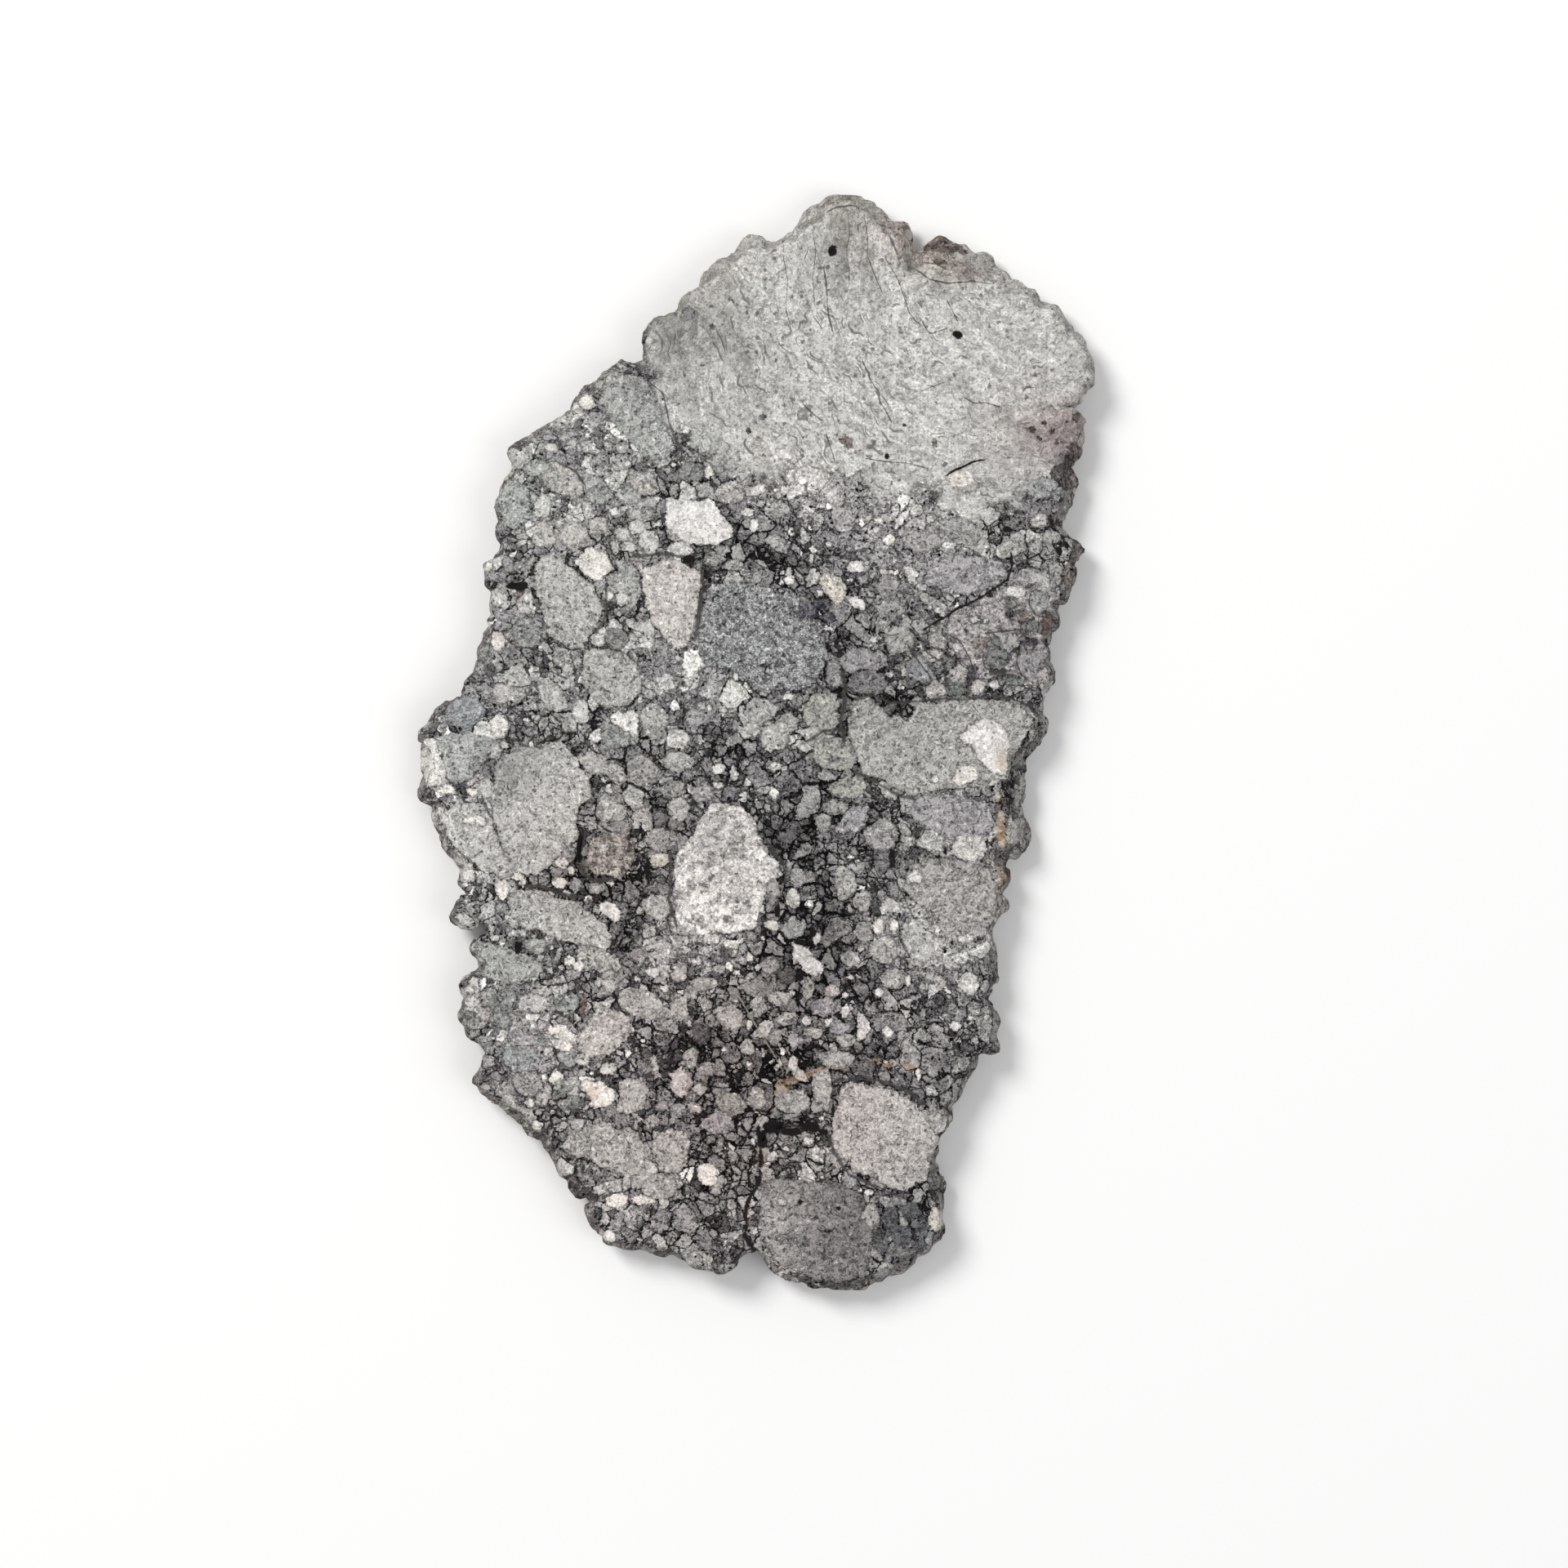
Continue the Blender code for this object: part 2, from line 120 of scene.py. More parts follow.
# Clasts with a shape of their own: tone, then the corners
CLASTS = (
    ("ash", "17.4,11.4 18.6,12.0 19.9,12.6 22.4,13.8 25.8,15.4 27.0,13.6 26.8,9.8 26.2,6.7 24.9,4.8 22.4,6.1 "
            "19.9,5.5 18.1,7.3 16.8,9.2"),
    ("lilac", "15.6,15.7 17.4,16.7 19.3,16.4 21.8,16.1 22.4,15.1 21.5,13.9 19.3,13.2 16.8,13.2 14.9,14.2"),
    ("mid", "12.8,19.2 14.6,18.6 16.4,19.8 18.6,19.9 20.4,18.6 19.4,17.4 16.8,17.8 14.6,16.6 13.2,17.4"),
    ("green", "-24.9,-17.6 -22.7,-18.3 -20.5,-18.9 -18.9,-20.1 -19.6,-21.4 -21.7,-21.4 -23.9,-21.1 "
              "-25.4,-19.8"),
    ("pink", "-25.8,-22.6 -24.2,-22.5 -23.3,-23.6 -24.2,-25.4 -25.8,-25.7 -26.6,-24.5"),
    ("blue", "-22.4,-27.3 -20.2,-27.0 -18.9,-27.9 -19.6,-29.2 -21.4,-29.5 -22.7,-28.5"),
    ("mid", "-21.7,-29.8 -19.6,-29.5 -18.9,-30.7 -19.9,-31.7 -21.4,-31.3"),
    ("bright", "-27.8,-6.2 -26.2,-5.4 -24.2,-5.6 -23.4,-7.4 -22.6,-9.8 -21.4,-11.6 -22.2,-12.4 -24.4,-11.4 "
               "-26.4,-9.8 -27.8,-8.2"),
    ("rind", "13.5,43.4 14.7,44.4 16.2,45.2 17.3,44.6 18.3,43.6 19.4,42.9 20.6,42.0 19.9,41.2 18.4,41.1 "
             "16.5,41.5 15.0,42.3"),
    ("rind", "4.3,47.1 5.5,48.4 7.1,49.2 8.7,49.2 10.1,48.7 10.8,48.0 9.8,47.6 8.6,48.1 7.1,48.0 6.0,47.4 "
             "5.0,46.6"),
    ("rind", "11.5,47.6 12.6,46.8 13.7,45.6 13.5,44.0 12.6,43.4 12.5,44.8 12.0,46.0 11.2,46.8"),
    ("umber", "12.5,46.7 13.1,46.7 13.8,45.8 13.8,45.0 13.2,45.3 12.8,46.0"),
    ("crust", "13.4,44.0 14.2,44.9 15.4,45.5 16.6,45.6 17.8,44.8 18.8,43.8 19.8,43.1 18.6,42.9 17.4,43.2 "
              "16.2,43.4 14.6,43.4"),
    ("pale", "13.3,43.5 14.8,43.3 16.4,43.2 17.8,42.8 19.4,42.5 20.6,41.9 19.6,41.6 18.0,41.5 16.4,41.7 "
             "15.0,42.2 13.8,42.8"),
    ("crust", "15.2,43.2 16.4,43.1 17.4,42.8 17.0,42.4 15.9,42.6"),
    ("laths", "-5.0,11.0 -4.2,13.6 -2.5,14.2 0,14.0 2.5,13.6 4,12.6 5.0,11 6.2,10 6.2,8.3 6.4,7.5 5.8,6.3 "
              "5.3,5.3 4.5,4.6 3.5,4.6 1.6,4.5 0,4.6 -1,5.5 -2.3,6.4 -4.5,6.8 -5.2,8.5"),
    ("mottled", "-4.1,-5.6 -2.6,-5.5 -1.2,-6 -0.2,-7 0.3,-8.3 0.7,-9.6 2.0,-10.9 2.3,-11.8 1.4,-12.5 "
                "0.7,-13.8 0.2,-15.2 0,-16.5 -1.5,-17 -4,-17.1 -5.8,-17.3 -6.9,-16.2 -7.4,-14 -7.2,-11 "
                "-6.8,-9.5 -5.7,-8.5 -5,-7"),
    ("bright", "-21,-0.9 -20,-0.5 -19,-0.6 -18.3,-0.1 -17.5,0 -16.8,-0.6 -16.2,-1.4 -15.8,-2.2 "
               "-15.1,-3.1 -14.5,-4.3 -15,-5.2 -15.8,-5.8 -16,-7 -15.9,-8 -16.3,-9 -17.3,-9.8 -18,-10.5 "
               "-18.3,-11 -19.7,-11.9 -21.2,-11.8 -22.6,-9.5 -23.2,-7.5 -23.6,-5.5 -23.4,-2.5 -22.5,-1.2"),
    ("grey", "8.6,3.8 10.2,4.0 11.0,3.2 11.6,2.4 13.4,1.9 14.5,3.4 16.7,3.6 19,3.8 21,3.6 23.5,3.3 25,2.5 "
             "23,-1.5 22.4,-3.4 21,-4 19,-4 17,-4.2 16,-4.4 14,-4.8 12.5,-4.3 11,-3.4 9.6,-2.9 9.2,-2 "
             "8.7,-0.6 8.2,0.8 8.2,2.2"),
    ("pink", "7.6,-30.7 8.4,-30.4 9.4,-30.5 10.3,-30.9 11.4,-30.8 12.4,-31.1 13.3,-31.6 14.0,-32.2 "
             "14.7,-32.9 15.3,-33.9 15.8,-35 16.4,-35.3 16.2,-36.8 15.9,-37.5 15.4,-38.5 15.1,-39.4 "
             "14.3,-39.3 13.7,-39.9 12.9,-40.1 12.1,-39.8 11.0,-39.3 10.2,-38.7 8.7,-38.3 8.1,-37.2 "
             "7.2,-36.5 6.6,-35.7 6.8,-34 7.1,-32.5 7.4,-31.5"),
    ("oval", "-19.8,15.6 -19.0,16.5 -17.9,16.8 -16.9,15.8 -15.9,15.1 -14.6,13.9 -13.9,12.5 -13.8,11.5 "
             "-14.3,10.3 -15.1,9.0 -15.8,8.2 -16.8,8.4 -17.9,9.1 -18.9,9.9 -18.9,11 -19.4,12.6 -19.7,14"),
    ("wedge", "-11,16.0 -9.5,15.6 -8.3,16.2 -7.0,16.1 -6,15.5 -5,15.2 -4.9,14 -5.1,12.7 -5.4,11 -5.8,10.2 "
              "-5.7,9.3 -6.5,8.3 -7.1,8.1 -8.2,9.2 -9.2,10.6 -9.8,12.2 -10.2,13.9 -10.1,14.8"),
    ("white", "-8.0,21.6 -6.6,21.6 -5.0,21.4 -4.3,21.7 -3.7,21.3 -3.2,20.4 -2.5,19.6 -2.2,18.9 -2.2,18.1 "
              "-2.9,17.9 -3.5,17.5 -5,17.6 -6.2,17.5 -7.2,18.3 -8,19.4"),
    ("cream", "-16.3,16.0 -15.6,16.6 -15.0,17.3 -14.2,17.0 -13.2,16.5 -13.0,15.8 -12.8,15.3 -13.4,14.9 "
              "-13.9,14.3 -14.6,14.3 -15.2,14.8 -15.8,15.4"),
    ("green", "-12.6,16.2 -11.2,16.0 -10.4,14.8 -10.2,13 -11.2,11.6 -12,12.6 -12.8,13.8 -12.4,15.2"),
    ("grey", "-15.4,7.7 -14.8,8.2 -13.6,8.3 -12.2,8.1 -11.2,7.4 -10.5,6.3 -10.3,5.2 -10.6,4.2 -11.2,3.3 "
             "-12.4,2.9 -13.6,3.1 -14.8,4.0 -15.6,5.4 -15.4,6.6"),
    ("sage", "-13.8,1.6 -13,2.4 -11,2.9 -10.4,1.2 -10.6,-0.2 -12,-0.7 -13.5,-0.4 -13.9,0.6"),
    ("white", "-13.0,2.2 -12.4,2.6 -11.9,2.3 -11.5,2.7 -11.1,2.8 -10.6,2.5 -10.5,1.5 -10.6,0.4 -11.2,0.6 "
              "-11.8,1.1 -12.6,1.6"),
    ("grey", "-10.3,2.5 -9.9,3.2 -9.2,3.4 -8.3,3.1 -7.9,2.3 -7.9,1.2 -8.4,0.5 -8.8,0 -9.6,0.4 -10.2,1.0"),
    ("bright", "-21,-13.2 -19,-13.3 -17.5,-14 -16,-14.2 -15.2,-15 -14.2,-15.8 -13.5,-16.3 -12.9,-17.3 "
               "-13,-18 -13.4,-18.7 -14.5,-18.3 -16,-18 -17.5,-17.7 -18.8,-17.2 -19.5,-16.6 -20.5,-16.8 "
               "-21.1,-16 -21.3,-14.6"),
    ("grey", "-15.9,-18.2 -14,-18.3 -13.3,-18.9 -12.4,-19 -12.0,-20 -12.6,-20.7 -14,-20.5 -15.5,-20.3 "
             "-16,-19.3"),
    ("brown", "-14.9,-9.0 -14.3,-8.3 -13,-8.1 -11.5,-8.4 -10.9,-9 -10.9,-10.3 -11.2,-11.2 -11.8,-11.9 "
              "-13,-12 -14.4,-11.9 -15.2,-11 -15,-10"),
    ("white", "-14.0,-14.5 -13.3,-14.2 -12.6,-14.6 -12.1,-15.2 -12.1,-16.0 -12.7,-16.2 -13.3,-15.7 "
              "-13.8,-15.1"),
    ("white", "18.2,0.5 18.7,1.2 19.6,1.6 20.3,2.1 21.2,2.0 21.9,1.5 22.1,0.9 22.5,0.4 22.5,-1.0 22.4,-2.4 "
              "22.2,-3.0 21.5,-3.0 20.8,-2.6 20.0,-2.0 19.5,-1.1 19.0,-0.2 18.4,-0.1"),
    ("cream", "17.6,-2.9 18.2,-2.2 19.0,-2.0 19.6,-2.7 19.8,-3.2 19.2,-3.6 18.0,-3.9 17.6,-3.7"),
    ("mid", "13.6,-11.2 15.6,-10.4 18.2,-10.6 20.6,-11.4 21.6,-13.2 21.4,-15.4 20.6,-17.2 18.6,-18.2 "
            "16.8,-17.4 15.9,-15.6 14.2,-14.4 13.2,-13.0"),
    ("lilac", "14.6,-4.9 16.6,-4.7 18.8,-5.0 20.8,-5.6 21.2,-7.4 20.4,-9.0 18.4,-9.2 16.6,-8.4 14.8,-7.6 "
              "13.4,-6.4"),
    ("oval", "13.0,-16.3 13.8,-15.9 14.6,-16.2 15.2,-16.7 15.7,-17.2 15.9,-18.3 15.6,-19.2 15.0,-19.7 "
                "14.2,-19.5 13.6,-18.8 13.0,-18.0 12.9,-17.2"),
    ("white", "3.0,-17.9 4.0,-18.1 5.1,-19.1 6.0,-20.0 5.9,-20.8 5.1,-21.0 4.2,-20.4 3.4,-19.3"),
    ("ivory", "15.7,-41.6 16.5,-41.2 17,-41.5 17,-43 16.3,-43.8 15.4,-43.5 15.3,-42.6"),
    ("slate", "0.6,-39.2 2.4,-38.9 4.6,-39.3 7.2,-39.4 9.4,-40.4 10.2,-42 10.4,-44.5 9.8,-47.6 7,-48.3 "
            "4,-47.6 2.2,-46.8 0.6,-44.8 0.2,-42.5 0.3,-40.8"),
    ("green", "-13.5,33 -10.2,32.4 -9,31 -8.2,28.5 -7.2,26 -9,24.5 -12,27.5 -14,30"),
    ("green", "-23,22 -22,23.5 -20.5,22.8 -20,20 -21,19 -22.5,19"),
    ("green", "-20,22.2 -19.3,21.8 -18.4,20.5 -18.1,19.7 -18.8,19.5 -19.7,20.0 -20,21"),
    ("pink", "-19.4,24.4 -18,25 -16.5,24.3 -15.7,23.3 -15.4,22 -16.5,21.5 -17.6,22 -18.8,22.8"),
    ("green", "-15.4,23.8 -14.3,23.6 -13.3,22.8 -12.8,21.8 -13.5,21.2 -14.8,21.2 -15.3,22.3"),
    ("pink", "-17.6,18.4 -17.2,19.3 -16.2,19.5 -15.2,19.2 -14.9,18.2 -15.3,17.4 -16.3,17 -17.2,17.5"),
    ("green", "-29.5,0.3 -25.5,0.8 -23.5,0.2 -23.8,-1.5 -25.3,-3.3 -26.5,-3.8 -28,-3.5 -28.8,-1"),
    ("pale", "-30.6,0.4 -28.7,0.3 -27.9,-1.8 -27.5,-3.8 -29.4,-4.1 -30.4,-2.2"),
    ("pale", "-29.6,-5.3 -28.1,-5.5 -27.6,-7.8 -27.4,-9.8 -28.5,-10.6 -29.4,-8.2"),
    ("pale", "-28.4,-9.7 -26.7,-9.8 -25.3,-11.0 -24.9,-12.6 -26.4,-12.6 -27.8,-11.3"),
    ("bright", "-19.8,5.9 -18.6,5.6 -17.6,5 -16.9,4 -16.9,3 -17.6,2.6 -18.6,3.1 -19.4,4.2"),
    ("grey", "-15.7,-1.6 -15.0,-0.8 -14,-1.1 -12.8,-1.9 -11.9,-2.3 -11.5,-3.4 -12.2,-3.9 -13.4,-3 "
             "-14.6,-2.9 -15.2,-2.6"),
    ("mid", "-11.5,-2.1 -10.9,-1.3 -10.2,-1.2 -9.2,-1.8 -8.5,-2.5 -8.4,-3.2 -9.3,-3.8 -9.8,-4.3 "
            "-10.5,-4.0 -11.4,-3.5"),
    ("bright", "-12,-4.6 -11.2,-3.9 -10.5,-4.1 -10.0,-4.8 -10.1,-5.8 -10.9,-6.0 -11.6,-5.4"),
    ("grey", "-14.4,-6.5 -14.0,-5.3 -13.2,-5.1 -12.2,-5.5 -11.4,-6.0 -11.6,-6.9 -12.7,-7.2 -13.8,-7.1"),
    ("mid", "-9.2,-4.3 -8.4,-4.0 -7.5,-3.5 -6.4,-3.6 -6.4,-4.6 -7.1,-5.0 -8.1,-5.0"),
    ("bright", "-7.9,-5.5 -7.3,-5.0 -6.3,-5.1 -5.9,-5.8 -6.2,-6.9 -7.0,-7.1 -7.8,-6.5"),
    ("mid", "-10.0,-8.6 -9.4,-7.8 -8.3,-7.7 -7.5,-7.9 -6.9,-8.7 -7.7,-9.6 -8.4,-9.9 -9.4,-9.8"),
    ("ivory", "-9.6,-10.1 -8.4,-10.0 -7.7,-10.1 -7.6,-10.8 -8.2,-11.2 -9.1,-11.2"),
    ("bright", "-1.7,1.2 -1.0,1.6 -0.1,1.7 0.3,1.1 0.0,0.3 -1.2,0.2"),
    ("grey", "0.3,0.5 0.9,1.3 2.0,2.0 3.0,2.7 3.7,2.0 3.6,1.2 2.9,0.6 2.8,-0.2 2.0,-0.8 1.0,-1.0 0.4,-0.3"),
    ("olive", "4.2,3.0 4.9,4.0 5.9,4.4 7.1,4.4 7.4,3.2 7.3,1.9 6.7,1.1 5.6,0.9 4.6,1.4 4.1,2.2"),
    ("lilac", "7.5,7.3 8.0,8.1 9.3,8.3 10.4,8.0 10.9,7.3 10.3,6.6 9.2,6.4 8.3,6.0 7.7,6.6"),
    ("dim", "8.3,5.6 9,6.2 10.4,6.3 11.3,6.1 11.8,5.1 11.3,4.4 10,4.2 8.8,4.4 8.2,5.0"),
    ("grey", "11.4,9.4 12.1,10.2 13.3,10.2 14.0,9.6 14,8.4 13,7.9 12,7.6 11.5,8.5"),
    ("olive", "4.9,-1.2 5.4,0.3 6.3,0.7 7.0,0.4 8.2,-0.1 8.9,-1.2 8.7,-2.2 7.6,-2.7 6.3,-2.4 5.2,-2.1"),
    ("olive", "6.1,-4.3 6.7,-3.8 8.1,-3.1 9.6,-3.2 9.9,-4.1 9.3,-4.8 8.3,-5.2 7.2,-4.9"),
    ("lilac", "6.9,-7.6 7.6,-6.8 8.5,-5.9 9.9,-5.7 10,-6.9 9.2,-8 8.0,-8.2 7.1,-7.9"),
    ("ivory", "5.5,14.1 6.1,15.0 6.8,14.8 7.8,14.4 8.0,13.5 7.8,12.7 7.3,12.2 6.4,12.9 6.0,13.4"),
    ("white", "7.9,15.3 8.3,15.9 8.9,16.3 9.5,15.9 9.6,15.4 9.0,15.05 8.2,15.05"),
    ("white", "8.2,12.5 8.9,13.0 9.6,12.5 9.9,11.9 9.4,11.7 8.7,12.0"),
    ("mid", "10.6,14.2 11.2,14.8 12.2,14.9 12.7,14.2 12.6,12.8 11.8,12.3 10.9,12.8"),
    ("green", "0.7,20.5 1.2,21.3 2.1,21.5 2.8,21.1 2.9,20.3 2.2,19.9 1.1,20.1"),
    ("green", "0.7,18.1 1.4,18.4 2.5,18.1 3.0,17.4 2.6,16.7 1.6,17.0"),
    ("grey", "21.3,16.9 21.6,17.5 22.4,18 22.6,18.5 23.3,18.7 23.9,18.3 24,17.5 23.9,17 23,16.4 21.6,16.3"),
    ("grey", "-3.9,-24 -3.1,-23.6 -1.9,-23.5 -1.2,-24.3 -1.1,-25.2 -2.2,-26.0 -3.2,-25.3"),
    ("grey", "-7.5,-23.4 -7.0,-22.5 -6.2,-22.8 -6.0,-24 -6.2,-24.9 -7.2,-24.9 -7.6,-24.2"),
    ("grey", "-12.3,-22.2 -11.2,-22 -10,-22.3 -9.2,-22.4 -8.5,-23.2 -8.4,-24 -9.0,-24.8 -10,-24.8 "
             "-11.4,-24.1 -12.3,-23.5"),
    ("pink", "-14.7,-24.3 -14,-23.5 -12.8,-23.9 -12,-24 -11.4,-24.6 -11.2,-25.6 -11.4,-26.4 -12.2,-27 "
             "-13,-27.9 -14.1,-28.0 -15.5,-28.1 -15.9,-27.3 -15.7,-26 -15.0,-25.3"),
    ("cream", "-18.6,-25.6 -17.8,-25.2 -17.2,-25.2 -16.3,-26.1 -16.1,-26.7 -16.6,-26.8 -17.3,-26.2 "
              "-18.3,-26.1"),
    ("cream", "-18,-26.6 -17.1,-26.4 -16.5,-26.9 -16.4,-27.4 -17.2,-27.6 -17.9,-27.3"),
    ("pale", "-14.0,-29.1 -13.4,-28.6 -12.7,-28.6 -12.5,-29.2 -12.8,-29.7 -13.7,-29.6"),
    ("cream", "-15.3,-30.3 -14.2,-30.3 -13.3,-30.6 -12.7,-31.2 -12.6,-31.9 -13.2,-32.5 -14.2,-32.7 "
              "-14.9,-32.4 -14.6,-31.6 -15.2,-31.3 -15.5,-30.8"),
    ("grey", "-12.3,-30.3 -11.7,-29.9 -10.4,-30.2 -9.7,-31 -10,-32.5 -11.2,-33.2 -12.4,-33 -12.2,-31.5"),
    ("pink", "-7.7,-29.6 -6.8,-29.2 -5.9,-29.6 -5.6,-30.5 -6.2,-31.4 -7.0,-31.7 -7.6,-31"),
    ("olive", "-3.5,-32 -2.6,-31.3 -1.6,-31.4 -0.9,-32.2 -1.2,-33 -2.3,-33.4 -3.1,-32.9"),
    ("grey", "-9.4,-36.5 -8.8,-35 -7.5,-34.5 -6.2,-34.9 -6,-36 -6.2,-37.5 -7,-38.6 -8.6,-38.4"),
    ("grey", "-15,-35.2 -14.5,-34.2 -13.1,-33.9 -12.5,-34.6 -11.4,-34.4 -10.4,-35.1 -10,-36.4 -9.9,-38 "
               "-11,-38.9 -13,-38.4 -14.8,-37.3"),
    ("grey", "5.0,-30 5.4,-29.2 6.3,-29.1 6.7,-29.9 6.7,-32 6.3,-33 5.3,-32.2 5,-31"),
    ("pale", "3.0,-28.2 3.6,-28.3 3.7,-29.5 3.2,-29.7 2.8,-29.2"),
    ("bright", "-9.5,-28.2 -9.1,-28.0 -8.8,-28.6 -8.5,-29.9 -9.1,-30.1 -9.4,-29.2"),
)

